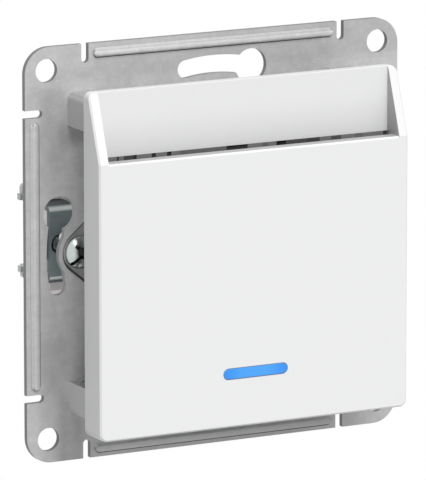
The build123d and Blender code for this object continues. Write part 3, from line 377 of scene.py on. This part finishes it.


# Pressed ribs
# Four stiffening beads pressed into the sheet near its edges, so they have the sheet's own coat.
# Their section is a soft half oval that runs out in round ends, and painted lines of shade follow
# its foot.
def wrapped_surface(name, rings):
    """A mesh through rings of points, an array of rings by points by three. Each ring is closed, and
    the first and the last draw together to a point or nearly so. Points that meet are welded, and
    the faces are turned outwards by the sign of the volume that they enclose."""
    count, around = rings.shape[:2]
    steps = np.arange(count - 1)[:, None]
    turns = np.arange(around)[None, :]
    next_turns = (turns + 1) % around
    low, low_next = steps * around + turns, steps * around + next_turns
    high, high_next = low + around, low_next + around
    faces = np.stack([low, high, high_next, low_next], axis=-1).reshape(-1, 4)
    points = rings.reshape(-1, 3)
    a, b, c, d = (points[faces[:, k]] for k in range(4))
    volume = np.einsum("ij,ij->i", a, np.cross(b, c) + np.cross(c, d)).sum()
    if volume < 0:
        faces = faces[:, ::-1]
    mesh = bpy.data.meshes.new(name)
    mesh.from_pydata(points.tolist(), [], faces.tolist())
    piece = bpy.data.objects.new(name, mesh)
    bpy.context.scene.collection.objects.link(piece)
    weld = piece.modifiers.new("weld", "WELD")
    weld.merge_threshold = 0.001 * mm
    mesh.shade_smooth()
    mesh.set_sharp_from_angle(angle=math.radians(38))
    return piece


def carry(piece, name, values):
    """Stores a number for each point of a wrapped surface."""
    piece.data.attributes.new(name, "FLOAT", "POINT").data.foreach_set("value", values.ravel())


def carried(name):
    """A mask that reads a number which a piece carries on its points."""
    return lambda tree: add_node(tree, "ShaderNodeAttribute", attribute_name=name).outputs["Fac"]


# The beads' coat is set a little lighter than the sheet's, as painted light.
bead = covered_material(
    "pressed_bead", metal_coat,
    {"Base": (0.56, 0.56, 0.558, 1.0), "Cloud": 0.05, "Speck": 0.42, "Grain": 0.012, "Rough": 0.5},
    metallic=0.3, bump=0.03 * mm,
)
pass_through(bead, sheet_painted_shade)
# Painted highlights on crest and flank, and painted lines of shade at the foot and along the flank
tint_where(bead, carried("light"), 1.7)
tint_where(bead, carried("line"), 0.20)
plate_half = float(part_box("mounting_plate")[1][0])
plate_front = -1.0 * mm
bead_middle = plate_half - 1.6 * mm
bead_half_l = 22.8 * mm
bead_half_w = 0.8 * mm
bead_h = 0.57 * mm
stations = 240
# The section's points from foot to foot: the place across in half widths, the height in bead heights,
# and how dark the painted line of shade along that point is
section_across, section_up, foot_shade = np.array([
    (-1.24, -0.05, 1.0), (-1.2, 0.03, 1.0), (-1.0, 0.06, 1.0), (-0.97, 0.35, 0.4), (-0.9, 0.62, 0.0),
    (-0.78, 0.84, 0.0), (-0.5, 0.97, 0.0), (-0.2, 1.0, 0.0), (0.2, 1.0, 0.0), (0.48, 0.91, 0.0),
    (0.62, 0.73, 0.1), (0.7, 0.63, 0.45), (0.8, 0.5, 0.1), (0.92, 0.33, 0.0), (1.0, 0.2, 0.0),
    (1.12, 0.02, 0.2), (1.15, -0.05, 0.2),
]).T
# The stations crowd towards the ends, where the width follows a circle and the height rises faster
run = np.sin(np.linspace(-math.pi / 2, math.pi / 2, stations))[:, None]
into_end = np.clip((np.abs(run) * bead_half_l - bead_half_l + bead_half_w) / bead_half_w, 0.0, 0.9999)
round_end = np.sqrt(1.0 - into_end ** 2)
bead_across = section_across[None, :] * bead_half_w * round_end
bead_front = plate_front - section_up[None, :] * bead_h * np.minimum(1.0, round_end * 1.6)
crest_highlight = np.where((section_across > -0.95) & (section_across < 0.4), 0.4, 0.0)
flank_highlight = np.where(section_across > 0.55, 1.0, 0.0)
flank_shade = np.where(section_across > 0.45, 0.4, 0.0)
flank_shade_line = np.where(np.abs(section_across - 0.7) < 0.09, 1.0, 0.0)
nothing = np.zeros_like(section_across)
# The top, left, bottom and right bead: the section's last point lies outwards (1) or inwards (-1),
# the whole bead is shifted inwards, and it gets its stripes of painted highlight and painted shade
for quarter, outwards, inward, light, lines in (
    (0, 1.0, 0.0, crest_highlight, flank_shade), (1, 1.0, 0.05 * mm, nothing, flank_shade_line),
    (2, -1.0, 0.0, flank_highlight, nothing), (3, 1.0, 0.0, nothing, flank_shade_line),
):
    angle = quarter * math.pi / 2
    across = bead_middle - inward + outwards * bead_across
    along = run * bead_half_l + 0 * bead_across
    rings = np.stack([
        along * math.cos(angle) - across * math.sin(angle), bead_front,
        along * math.sin(angle) + across * math.cos(angle),
    ], axis=-1)
    piece = wrapped_surface(f"pressed_bead_{quarter + 1}", rings)
    carry(piece, "line", 0 * bead_across + np.maximum(foot_shade, lines)[None, :])
    carry(piece, "light", 0 * bead_across + light[None, :])
    piece.data.materials.append(bead)
    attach(piece, "fixed_assembly")

# Switch base and cap
# Two moulded halves of a light, slightly pink urea plastic, clamped behind the plate. The surface
# has the fine spark-eroded texture of its mould and slow changes of tone.
moulded, mould_in, mould_out = new_group(
    "moulded", [("Base", colour, grey), ("Tone", number, 0.02), ("Rough", number, 0.4)], finish)
texture_roughness = 0.12
place = object_place(moulded)
slow = spread(moulded, noise(moulded, place, 90.0, Detail=3.0))
spark = noise(moulded, place, 5200.0, Detail=2.0)
shift = total(moulded, product(moulded, slow, mould_in.outputs["Tone"]), 1.0)
uneven = product(moulded, spread(moulded, spark, -0.5, 0.5), texture_roughness)
put_out(
    moulded, mould_out,
    Color=scaled_colour(moulded, mould_in.outputs["Base"], shift),
    Roughness=total(moulded, mould_in.outputs["Rough"], uneven),
    Height=spark,
)
urea = covered_material(
    "urea_plastic", moulded, {"Base": (0.93, 0.89, 0.885, 1.0), "Tone": 0.03, "Rough": 0.45},
    bump=0.02 * mm, strength=0.25,
)
paint(urea, "switch_base", "base_cap")

# Contacts and terminal cages
# Strips and cages bent and stamped from brass, uneven in tone along their length, with silver alloy
# rivets pressed in where they touch.
brass = covered_material(
    "stamped_brass", metal_coat,
    {"Base": (0.72, 0.52, 0.22, 1.0), "Cloud": 0.1, "Speck": 0.05, "Grain": 0.12, "Rough": 0.3},
    metallic=1.0,
)
paint(brass, "common_contact", "rest_contact", "work_contact")
paint(brass, "terminal_cage_1", "terminal_cage_2", "terminal_cage_3", "contact_rocker")
silver = covered_material(
    "silver_contact", metal_coat,
    {"Base": (0.85, 0.84, 0.80, 1.0), "Cloud": 0.06, "Speck": 0.03, "Grain": 0.02, "Rough": 0.25},
    metallic=1.0,
)
paint(silver, "rest_rivet", "work_rivet", "rocker_rivet_front", "rocker_rivet_rear")

# Claws, their nuts and the saddles
# The claws are bent from zinc-plated spring steel, and the square nuts on which they rock have the
# same plating. The saddles under the screw heads are punched from passivated sheet, and each fills
# one nose of the plate's window.
claw_steel = covered_material(
    "claw_steel", metal_coat,
    {"Base": (0.52, 0.55, 0.54, 1.0), "Cloud": 0.05, "Speck": 0.06, "Grain": 0.03, "Rough": 0.36},
    metallic=0.35,
)


def on_web(tree):
    """1 on the web, which gets painted shade, and 0 on the arms behind it."""
    return band(tree, place_along(tree, "Y"), 14.0, 10.5)


def web_side_shade(tree):
    """1 on the web's punched left and right sides, which get darker painted shade still."""
    return product(tree, on_web(tree), remap(tree, distance_from(tree, normal_along(tree, "X")), 0.4, 0.8))


def bend_lean(tree):
    """How far a surface leans up or down. The lower bend gets 0.35 more, so that its painted highlight
    lies closer to the web and the painted shade after it is wider."""
    rise = normal_along(tree, "Z")
    return total(tree, distance_from(tree, rise), product(tree, below(tree, rise, -0.1), 0.35))


def bend_highlight(tree):
    """1 on the middle of the bends between web and arms, where the surface leans up or down and
    still faces the front: a painted highlight line."""
    lean = bend_lean(tree)
    middle = product(tree, remap(tree, lean, 0.15, 0.4), remap(tree, lean, 0.6, 0.85, 1.0, 0.0))
    return product(tree, on_web(tree), product(tree, middle, below(tree, normal_along(tree, "Y"), -0.2)))


def arm_start_shade(tree):
    """1 on the outer faces of the arms behind the bends, which get a nearly black painted shade."""
    start = band(tree, place_along(tree, "Y"), 19.0, 13.0)
    return product(tree, start, remap(tree, bend_lean(tree), 0.8, 0.95))


# Painted shade on the web, its sides and the start of the arms, and a painted highlight on the bends
tint_where(claw_steel, on_web, (0.55, 0.64, 0.66))
tint_where(claw_steel, web_side_shade, 0.25)
tint_where(claw_steel, bend_highlight, (3.2, 2.8, 2.7))
tint_where(claw_steel, arm_start_shade, (0.16, 0.18, 0.19))
paint(claw_steel, "claw_left", "claw_right", "claw_nut_left", "claw_nut_right")
passivated = covered_material(
    "passivated_sheet", metal_coat,
    {"Base": (0.72, 0.70, 0.70, 1.0), "Cloud": 0.06, "Speck": 0.12, "Grain": 0.03, "Rough": 0.5},
    metallic=0.3,
)
rim_centre = 24.65 * mm
rim_lean = math.radians(40)
rim_starts, rim_full = 3.3, 3.46


def length_of(tree, first, second):
    """The root of the sum of two squares."""
    return maths(tree, "SQRT", total(tree, product(tree, first, first), product(tree, second, second)))


def rim_shade(tree):
    """1 at the saddle's rim, where a painted line of shade runs, and 0 inside. The rim is a
    circle about rim_centre and its two tangents, which open towards the middle of the plate."""
    out = maths(tree, "SUBTRACT", distance_from(tree, place_along(tree, "X")), rim_centre)
    high = distance_from(tree, place_along(tree, "Z"))
    round_reach = length_of(tree, out, high)
    flat_reach = total(
        tree, product(tree, out, math.sin(rim_lean)), product(tree, high, math.cos(rim_lean)))
    on_round = above(tree, out, product(tree, high, math.tan(rim_lean)))
    # A mix of numbers has its mask at input 0, its values at inputs 2 and 3 and its result at output 0
    inputs = {0: on_round, 2: flat_reach, 3: round_reach}
    reach = add_node(tree, "ShaderNodeMix", inputs, data_type="FLOAT").outputs[0]
    return band(tree, reach, rim_starts, rim_full)


tint_where(passivated, rim_shade, (0.16, 0.15, 0.16))
paint(passivated, "screw_saddle_left", "screw_saddle_right")


# Claw screws
# Pan head machine screws in zinc-plated steel, cold headed with a cross recess and a slot in one,
# and with a rolled thread. They draw the claws' nuts forwards. Their recesses stand at an angle.
def smooth_step(low, high, value):
    """0 below low, 1 above high, and an even S curve between them."""
    t = np.clip((value - low) / (high - low), 0.0, 1.0)
    return t * t * (3.0 - 2.0 * t)


def cross_and_slot(u, v, size, turn):
    """Depth share of a combined recess: a slot nearly right across, 0.7 deep, a shorter arm across
    it, 0.85 deep, and a round middle of full depth. The widths are shares of the head's width."""
    slot_depth, arm_depth = 0.7, 0.85
    half_w, edge = size * 0.043, size * 0.012
    cu = u * math.cos(turn) + v * math.sin(turn)
    cv = -u * math.sin(turn) + v * math.cos(turn)
    slot = 1.0 - smooth_step(half_w, half_w + edge, np.abs(cv))
    slot = slot * (1.0 - smooth_step(size * 0.44, size * 0.5, np.abs(cu))) * slot_depth
    arm = 1.0 - smooth_step(half_w, half_w + edge, np.abs(cu))
    arm = arm * (1.0 - smooth_step(size * 0.24, size * 0.34, np.abs(cv))) * arm_depth
    middle = 1.0 - smooth_step(size * 0.1, size * 0.2, np.hypot(cu, cv))
    return np.maximum(np.maximum(slot, arm), middle)


def plain_slot(u, v, size, turn):
    """Depth share of a plain slot right across the head."""
    cv = -u * math.sin(turn) + v * math.cos(turn)
    return 1.0 - smooth_step(size * 0.07, size * 0.08, np.abs(cv))


def screw_rings(head_d, head_h, dome, shank_d, length, pitch, recess, depth, turn):
    """Rings of a screw, and how much painted shade each of their points gets: the recess by its depth,
    and all that is under the head. The head's underside lies at w = 0, its top towards -w and the tip at
    w = length. The head's top is a ball cap of height dome on a flat disc, less depth times the
    recess's share. The shank's radius falls and rises by thread_depth with w and the angle, one
    pitch a turn, fades in below the head and tapers at the tip. Sizes are in millimetres."""
    points_around, head_steps, steps_per_pitch = 216, 90, 8
    thread_depth, tip_taper = 0.6 * pitch, 0.12 * shank_d
    rim_edge, rim_in, under_d = 0.04 * head_h, 0.985, 0.9 * shank_d
    shade_gain, deepest_shade = 1.4, 0.85
    around = np.linspace(0.0, 2 * math.pi, points_around, endpoint=False)[None, :]
    across = np.linspace(0.0, 1.0, head_steps)[:, None] ** 0.85 * head_d / 2
    ball = (head_d * head_d / 4 + dome * dome) / (2 * dome)
    rise = np.sqrt(ball * ball - across * across) - (ball - dome)
    top_u = across * np.cos(around)
    top_v = across * np.sin(around)
    cut = recess(top_u, top_v, head_d, turn)
    head = np.stack([top_u, top_v, -(head_h - dome) - rise + depth * cut], axis=-1)
    under = [np.stack([
        radius * np.cos(around[0]), radius * np.sin(around[0]), np.full(points_around, w),
    ], axis=-1) for radius, w in ((head_d / 2, -rim_edge), (head_d / 2 * rim_in, 0.0), (under_d / 2, 0.0))]
    w = np.arange(0.2 * pitch, length - 0.5 * pitch, pitch / steps_per_pitch)[:, None]
    thread = np.abs(((w / pitch - around / (2 * math.pi)) % 1.0) * 2.0 - 1.0)
    fade = smooth_step(0.0, 2 * pitch, w)
    radius = shank_d / 2 - thread_depth * (fade * thread + (1.0 - fade) * 0.5)
    radius = np.minimum(radius, shank_d / 2 - smooth_step(length - 2.0 * pitch, length, w) * tip_taper)
    shank = np.stack([radius * np.cos(around), radius * np.sin(around), w + 0 * around], axis=-1)
    tip_r = np.array([0.3, 0.001])[:, None] * shank_d
    tip_w = np.array([length - 0.1 * pitch, length])[:, None]
    tip = np.stack([tip_r * np.cos(around), tip_r * np.sin(around), tip_w + 0 * around], axis=-1)
    rings = np.concatenate([head, np.array(under), shank, tip]) * mm
    dark = np.ones(rings.shape[:2])
    dark[:head_steps] = np.clip(cut * shade_gain, 0.0, deepest_shade)
    dark[head_steps] = 0.0
    return rings, dark


plated = covered_material(
    "plated_screw", metal_coat,
    {"Base": (0.53, 0.58, 0.565, 1.0), "Cloud": 0.06, "Speck": 0.04, "Grain": 0.03, "Rough": 0.24},
    metallic=1.0,
)
# Painted shade in the recesses and on all that is under the heads
tint_where(plated, carried("dark"), (0.16, 0.165, 0.165))
under_head = -0.05 * mm
claw_screw, claw_screw_shade = screw_rings(
    head_d=5.6, head_h=1.9, dome=1.25, shank_d=3.0, length=15.9, pitch=0.5,
    recess=cross_and_slot, depth=1.4, turn=math.radians(45))
for side in ("left", "right"):
    box_low, box_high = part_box(f"claw_screw_{side}")
    middle_x = (box_low[0] + box_high[0]) / 2
    rings = np.stack(
        [claw_screw[..., 0] + middle_x, claw_screw[..., 2] + under_head, claw_screw[..., 1]], axis=-1)
    piece = wrapped_surface(f"threaded_claw_screw_{side}", rings)
    carry(piece, "dark", claw_screw_shade)
    piece.data.materials.append(plated)
    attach(piece, f"claw_screw_{side}")
    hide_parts(f"claw_screw_{side}")

# Terminal screws
# Short cheese head clamping screws with a plain slot, zinc plated, one in each cage. A driver
# reaches them through holes in the base, the first from above and the other two from below.
terminal_head_h = 1.8
for index, upward in ((1, 1.0), (2, -1.0), (3, -1.0)):
    box_low, box_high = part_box(f"terminal_screw_{index}")
    middle_x, middle_y = ((box_low[axis] + box_high[axis]) / 2 for axis in (0, 1))
    head_top = box_high[2] if upward > 0 else -box_low[2]
    local, local_shade = screw_rings(
        head_d=5.6, head_h=terminal_head_h, dome=0.12, shank_d=3.5, length=7.5, pitch=0.6,
        recess=plain_slot, depth=0.9, turn=0.35 * index)
    rings = np.stack([
        local[..., 0] + middle_x, local[..., 1] + middle_y,
        upward * (head_top - terminal_head_h * mm - local[..., 2]),
    ], axis=-1)
    piece = wrapped_surface(f"threaded_terminal_screw_{index}", rings)
    # The terminal screws get less of that painted shade
    carry(piece, "dark", local_shade * 0.6)
    piece.data.materials.append(plated)
    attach(piece, f"terminal_screw_{index}")
    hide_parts(f"terminal_screw_{index}")

# Card lever, its pin and the plunger
# Natural coloured acetal mouldings that slide on each other without oil. A round steel pin is
# pressed through the lever's bearings, and the rocker's and the lamp's pins are plated alike.
acetal = covered_material(
    "acetal", moulded, {"Base": (0.80, 0.79, 0.74, 1.0), "Tone": 0.03, "Rough": 0.35},
    strength=0.2, Subsurface_Weight=0.1,
)
paint(acetal, "card_lever", "plunger")
paint(plated, "lever_pin", "rocker_pin", "indicator_pin_left", "indicator_pin_right")

# Plunger spring
# A coil of round spring steel wire between the plunger's head and the cap. Its end turns lie
# close, so that they stand flat on their seats.
box_low, box_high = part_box("plunger_spring")
wire_r = 0.3 * mm
coil_r = 3.05 * mm
turns = 5.5
closing = 0.11
wire_stations, wire_points = 400, 14
# The wire's line turns evenly and advances slowly near both ends, and its section shrinks to a
# point at each end
share = np.linspace(0.0, 1.0, wire_stations)
angle = share * turns * 2 * math.pi
advance = share - closing * np.sin(2 * math.pi * share)
along = box_low[1] + wire_r + (box_high[1] - box_low[1] - 2 * wire_r) * advance
middle_z = (box_low[2] + box_high[2]) / 2
centre = np.stack([coil_r * np.cos(angle), along, middle_z + coil_r * np.sin(angle)], axis=-1)
outward = np.stack([np.cos(angle), 0 * angle, np.sin(angle)], axis=-1)
heading = np.gradient(centre, axis=0)
heading = heading / np.linalg.norm(heading, axis=1)[:, None]
upright = np.cross(heading, outward)
turn = np.linspace(0.0, 2 * math.pi, wire_points, endpoint=False)
size = np.ones(wire_stations)
size[[0, -1]] = 0.001
ring = outward[:, None] * np.cos(turn)[None, :, None] + upright[:, None] * np.sin(turn)[None, :, None]
spring = wrapped_surface("plunger_coil", centre[:, None] + ring * (wire_r * size)[:, None, None])
spring_wire = covered_material(
    "spring_wire", metal_coat,
    {"Base": (0.52, 0.52, 0.53, 1.0), "Cloud": 0.08, "Speck": 0.04, "Grain": 0.06, "Rough": 0.3},
    metallic=1.0,
)
spring.data.materials.append(spring_wire)
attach(spring, "fixed_assembly")
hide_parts("plunger_spring")
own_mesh(spring)

# Carrier and card guide
# Moulded parts behind the cover, screwed together with the base. The white carrier's posts show at
# the cover's corners, and the grey guide's uneven top edge shows in the card slot.
# The carrier's white is set well below the cover's, as painted shade behind the cover.
white_in_shade = covered_material(
    "white_carrier", moulded, {"Base": (0.60, 0.60, 0.60, 1.0), "Tone": 0.02, "Rough": 0.4},
    strength=0.15,
)


def shaded_tops(tree):
    """1 on faces that look up, which get painted shade, and 0 on the others."""
    return remap(tree, normal_along(tree, "Z"), 0.5, 0.9)


def upper_left_shade(tree):
    """1 on the left sides of the upper posts, which get painted shade."""
    level = band(tree, place_along(tree, "Z"), 10.0, 15.0)
    return product(tree, level, below(tree, normal_along(tree, "X"), -0.5))


tint_where(white_in_shade, upper_left_shade, 0.78)
tint_where(white_in_shade, shaded_tops, 0.62)
guide_grey = covered_material(
    "grey_guide", moulded, {"Base": (0.20, 0.20, 0.20, 1.0), "Tone": 0.03, "Rough": 0.42},
    strength=0.2,
)
paint(white_in_shade, "cover_carrier")
paint(guide_grey, "card_guide")
paint(plated, "carrier_screw_1", "carrier_screw_2")

# Comb in the card slot
# The guide's upper edge carries a thin comb, moulded in the same grey, that steers the card. Its
# notches differ in width. How dark each looks is matched to the photograph, and only the darkest
# are cut into the mesh.
notches = [
    (-23.9, -23.5, 0.8), (-22.6, -20.8, 0.7), (-20.8, -20.2, 0.9), (-17.4, -16.6, 0.9),
    (-14.5, -13.7, 0.9), (-12.1, -3.3, 0.25), (-3.3, 0.7, 0.9), (3.5, 4.6, 0.3), (6.2, 8.0, 1.0),
    (8.0, 12.1, 0.62), (12.1, 14.5, 0.74), (16.7, 18.6, 0.6), (21.3, 22.8, 0.25), (26.7, 27.4, 0.8),
]
comb_half_l, comb_face = 27.45, 27.4
notch_flank = 0.02
comb_front, comb_back = -11.8 * mm, -11.2 * mm
guide_top = float(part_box("card_guide")[1][2])
comb_low, comb_high = guide_top - 1.0 * mm, guide_top + 0.38 * mm
notch_sinks = 0.3 * mm
# Each notch has its two ends and its share of painted shade, which also sets its cut. The strip is a
# six-sided bar that shrinks to a point at both ends, and its top sinks only where that share passes
# three quarters.
ends = np.array([[a, b] for a, b, _ in notches]).ravel()
station = np.sort(np.concatenate([
    [-comb_half_l, comb_half_l], ends - notch_flank, ends + notch_flank, [-comb_face, comb_face]]))
notch_cut_and_shade = np.zeros(len(station))
for low_end, high_end, share in notches:
    notch_cut_and_shade[(station > low_end) & (station < high_end)] = share
top = comb_high - notch_sinks * smooth_step(0.75, 0.95, notch_cut_and_shade)
size = np.where(np.abs(station) > comb_face + notch_flank, 0.001, 1.0)
height_share = np.array([0.0, 0.0, 0.5, 1.0, 1.0, 0.5])
depth_share = np.array([0.0, 1.0, 1.0, 1.0, 0.0, 0.0])
height = comb_low + (top[:, None] - comb_low) * (0.5 + (height_share[None, :] - 0.5) * size[:, None])
depth = comb_front + (comb_back - comb_front) * (0.5 + (depth_share[None, :] - 0.5) * size[:, None])
rings = np.stack([station[:, None] * mm + 0 * height, depth, height], axis=-1)
comb = wrapped_surface("guide_comb", rings)
carry(comb, "notch_cut_and_shade", notch_cut_and_shade[:, None] + 0 * height)
comb_grey = covered_material(
    "grey_comb", moulded, {"Base": (0.17, 0.17, 0.17, 1.0), "Tone": 0.05, "Rough": 0.6},
    strength=0.2, Specular_IOR_Level=0.2,
)
# Painted shade in the notches, by their share
tint_where(comb_grey, carried("notch_cut_and_shade"), 0.06)
comb.data.materials.append(comb_grey)
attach(comb, "fixed_assembly")

# Indicator lamp behind the window
# A small green laminate board with a diode and a lacquered resistor soldered on, and a block of
# clear resin that spreads the light towards the window.
board_green = covered_material(
    "board_laminate", moulded, {"Base": (0.05, 0.24, 0.10, 1.0), "Tone": 0.12, "Rough": 0.35},
)
paint(board_green, "indicator_board")
resin = covered_material(
    "clear_resin", moulded, {"Base": (0.82, 0.86, 0.88, 1.0), "Tone": 0.02, "Rough": 0.12},
    Transmission_Weight=0.6,
)
paint(resin, "light_guide", "led")
bands, band_in, band_out = new_group("resistor_bands", [("Body", colour, grey)], finish)
place = object_place(bands)
across_bands = part_along(bands, place, "X")
low_x, high_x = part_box("resistor")[0][0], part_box("resistor")[1][0]
band_half_w = 0.3 * mm
painted = band_in.outputs["Body"]
for at_share, band_colour in (
    (0.3, (0.35, 0.1, 0.03, 1.0)), (0.42, (0.02, 0.02, 0.02, 1.0)), (0.7, (0.5, 0.35, 0.08, 1.0)),
):
    away = distance_from(bands, across_bands, low_x + (high_x - low_x) * at_share)
    painted = mix_colours(bands, below(bands, away, band_half_w), painted, band_colour)
uneven = noise(bands, place, 1500.0)
put_out(bands, band_out, Color=painted, Roughness=spread(bands, uneven, 0.3, 0.45), Height=uneven)
lacquer = covered_material("banded_lacquer", bands, {"Body": (0.66, 0.52, 0.32, 1.0)})
paint(lacquer, "resistor")

# Front cover
# One white polycarbonate moulding, satin, with the card slot and the open funnel above it. It
# snaps on the carrier's posts with four hooks.
white = covered_material(
    "white_cover", moulded, {"Base": (0.83, 0.83, 0.83, 1.0), "Tone": 0.004, "Rough": 0.34},
    bump=0.005 * mm, strength=0.08,
)
cover_front = float(cad_box[0][1])
panel_top = float(cad_box[1][2]) - 17.74 * mm
funnel_half_w = 27.52 * mm


def funnel_shade(tree):
    """Falls from 1 at the slot to 0.2 at 8 mm above it and on up, inside the funnel and behind the
    cover's front: painted shade that darkens the funnel towards the slot."""
    z = place_along(tree, "Z")
    return product(
        tree,
        above(tree, place_along(tree, "Y"), cover_front + 1.0 * mm),
        remap(tree, z, panel_top, panel_top + 8.0 * mm, 1.0, 0.2),
        above(tree, z, panel_top + 0.1 * mm),
        below(tree, distance_from(tree, place_along(tree, "X")), funnel_half_w + 0.05 * mm),
    )


def left_face_shade(tree):
    """1 on faces that look left, which get a little painted shade."""
    return remap(tree, normal_along(tree, "X"), -0.6, -0.9)


def left_rim_light(tree):
    """1 on the sloping rim left of the funnel, which gets painted light, and 0 elsewhere."""
    return product(
        tree,
        below(tree, place_along(tree, "X"), -funnel_half_w),
        above(tree, place_along(tree, "Z"), panel_top),
        below(tree, normal_along(tree, "Y"), -0.8),
    )


def right_cheek_shade(tree):
    """1 on the funnel's right cheek, which gets painted shade, and 0 elsewhere."""
    near = below(tree, distance_from(tree, place_along(tree, "X"), funnel_half_w), 0.1 * mm)
    return product(tree, near, below(tree, normal_along(tree, "X"), -0.8))


def slot_lip_shade(tree):
    """1 on the panel's top face behind its bevel, which gets painted shade, and 0 elsewhere."""
    level = below(tree, distance_from(tree, place_along(tree, "Z"), panel_top), 0.15 * mm)
    return product(tree, above(tree, normal_along(tree, "Z"), 0.95), level)


# Painted shade in the funnel, on faces that look left, on the right cheek and on the slot's lip, and
# painted light on the left rim
tint_where(white, funnel_shade, 0.82)
tint_where(white, left_face_shade, 0.88)
tint_where(white, left_rim_light, 1.12)
tint_where(white, right_cheek_shade, 0.61)
tint_where(white, slot_lip_shade, 0.55)
paint(white, "card_cover")

# Indicator window
# A blue, round-ended bar of tinted polycarbonate pressed into the cover from behind. It shows an
# even painted glow of its own colour, is a little deeper blue at the ends, and shows a thin dark line
# where it meets the cover.
box_low, box_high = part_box("indicator_lens")
window_z = float(box_low[2] + box_high[2]) / 2
end_x = 5.15 * mm
bar_r = 0.95 * mm
bar_depth = 1.4
edge_r = 0.16
# Rings of a slot shape from the middle of the rear face over the rounded front edge to the middle
# of the front: how wide each is in bar radii, and how deep behind the cover's front in millimetres
corner = np.linspace(0.0, math.pi / 2, 7)
ring_r = np.concatenate([[0.0, 1.0], 1.0 - edge_r * (1.0 - np.cos(corner)), [0.5, 0.0]])[:, None]
ring_depth = np.concatenate([[bar_depth, bar_depth], edge_r * (1.0 - np.sin(corner)), [0.0, 0.0]])[:, None]
turn = np.linspace(0.0, 2 * math.pi, 96, endpoint=False)[None, :]
side_of = np.where(np.cos(turn) >= 0, 1.0, -1.0)
rings = np.stack([
    side_of * end_x + ring_r * bar_r * np.cos(turn),
    cover_front + ring_depth * mm + 0 * turn,
    window_z + ring_r * bar_r * np.sin(turn),
], axis=-1)
window = wrapped_surface("window_bar", rings)
window_tint, tint_in, tint_out = new_group(
    "window_tint", [("Middle", colour, grey), ("Ends", colour, grey), ("Rim", colour, grey)], finish)
place = object_place(window_tint)
out_x = distance_from(window_tint, part_along(window_tint, place, "X"))
past_end = maths(window_tint, "MAXIMUM", maths(window_tint, "SUBTRACT", out_x, end_x), 0.0)
off_middle = maths(window_tint, "SUBTRACT", part_along(window_tint, place, "Z"), window_z)
reach = length_of(window_tint, past_end, off_middle)
glass = mix_colours(
    window_tint, band(window_tint, out_x, 2.0, 6.0), tint_in.outputs["Middle"], tint_in.outputs["Ends"])
glass = mix_colours(
    window_tint, remap(window_tint, reach, 0.78 * bar_r, bar_r), glass, tint_in.outputs["Rim"])
ripple = noise(window_tint, place, 700.0)
gloss = spread(window_tint, ripple, 0.14, 0.22)
put_out(window_tint, tint_out, Color=glass, Roughness=gloss, Height=ripple)
blue = covered_material(
    "blue_window", window_tint,
    {"Middle": (0.055, 0.33, 0.84, 1.0), "Ends": (0.025, 0.26, 0.82, 1.0), "Rim": (0.10, 0.22, 0.42, 1.0)},
    strength=0.05, Emission_Strength=0.12,
)
tree = blue.node_tree
# The painted glow: the window's own colour fed to its emission
tree.links.new(tree.nodes["Group"].outputs["Color"], tree.nodes["Principled BSDF"].inputs["Emission Color"])
window.data.materials.append(blue)
paint(blue, "indicator_lens")
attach(window, "fixed_assembly")
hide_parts("indicator_lens")

# Studio
# The switch hangs in front of plain white paper. A large soft lamp stands in front and above, to
# the right of the camera's line, and the white room fills the shadows.
bpy.context.scene.view_settings.view_transform = "Standard"
world = bpy.data.worlds.new("room")
world.use_nodes = True
bpy.context.scene.world = world
tree = world.node_tree
tree.nodes.clear()
path = add_node(tree, "ShaderNodeLightPath")
fill = add_node(tree, "ShaderNodeBackground", {"Color": (0.985, 0.99, 1.0, 1.0), "Strength": 0.52})
paper = add_node(tree, "ShaderNodeBackground", {"Color": (1.0, 1.0, 1.0, 1.0), "Strength": 1.0})
seen = maths(tree, "MAXIMUM", path.outputs["Is Camera Ray"], path.outputs["Is Glossy Ray"])
seen = maths(tree, "MAXIMUM", seen, path.outputs["Is Transmission Ray"])
room = add_node(tree, "ShaderNodeMixShader", {0: seen, 1: fill.outputs[0], 2: paper.outputs[0]})
add_node(tree, "ShaderNodeOutputWorld", {"Surface": room.outputs[0]})
lamp = bpy.data.lights.new("key", "SUN")
lamp.energy = 2.3
lamp.angle = math.radians(32)
key = bpy.data.objects.new("key", lamp)
bpy.context.scene.collection.objects.link(key)
key.rotation_euler = Vector((-0.04, -0.68, 0.72)).to_track_quat("Z", "Y").to_euler()
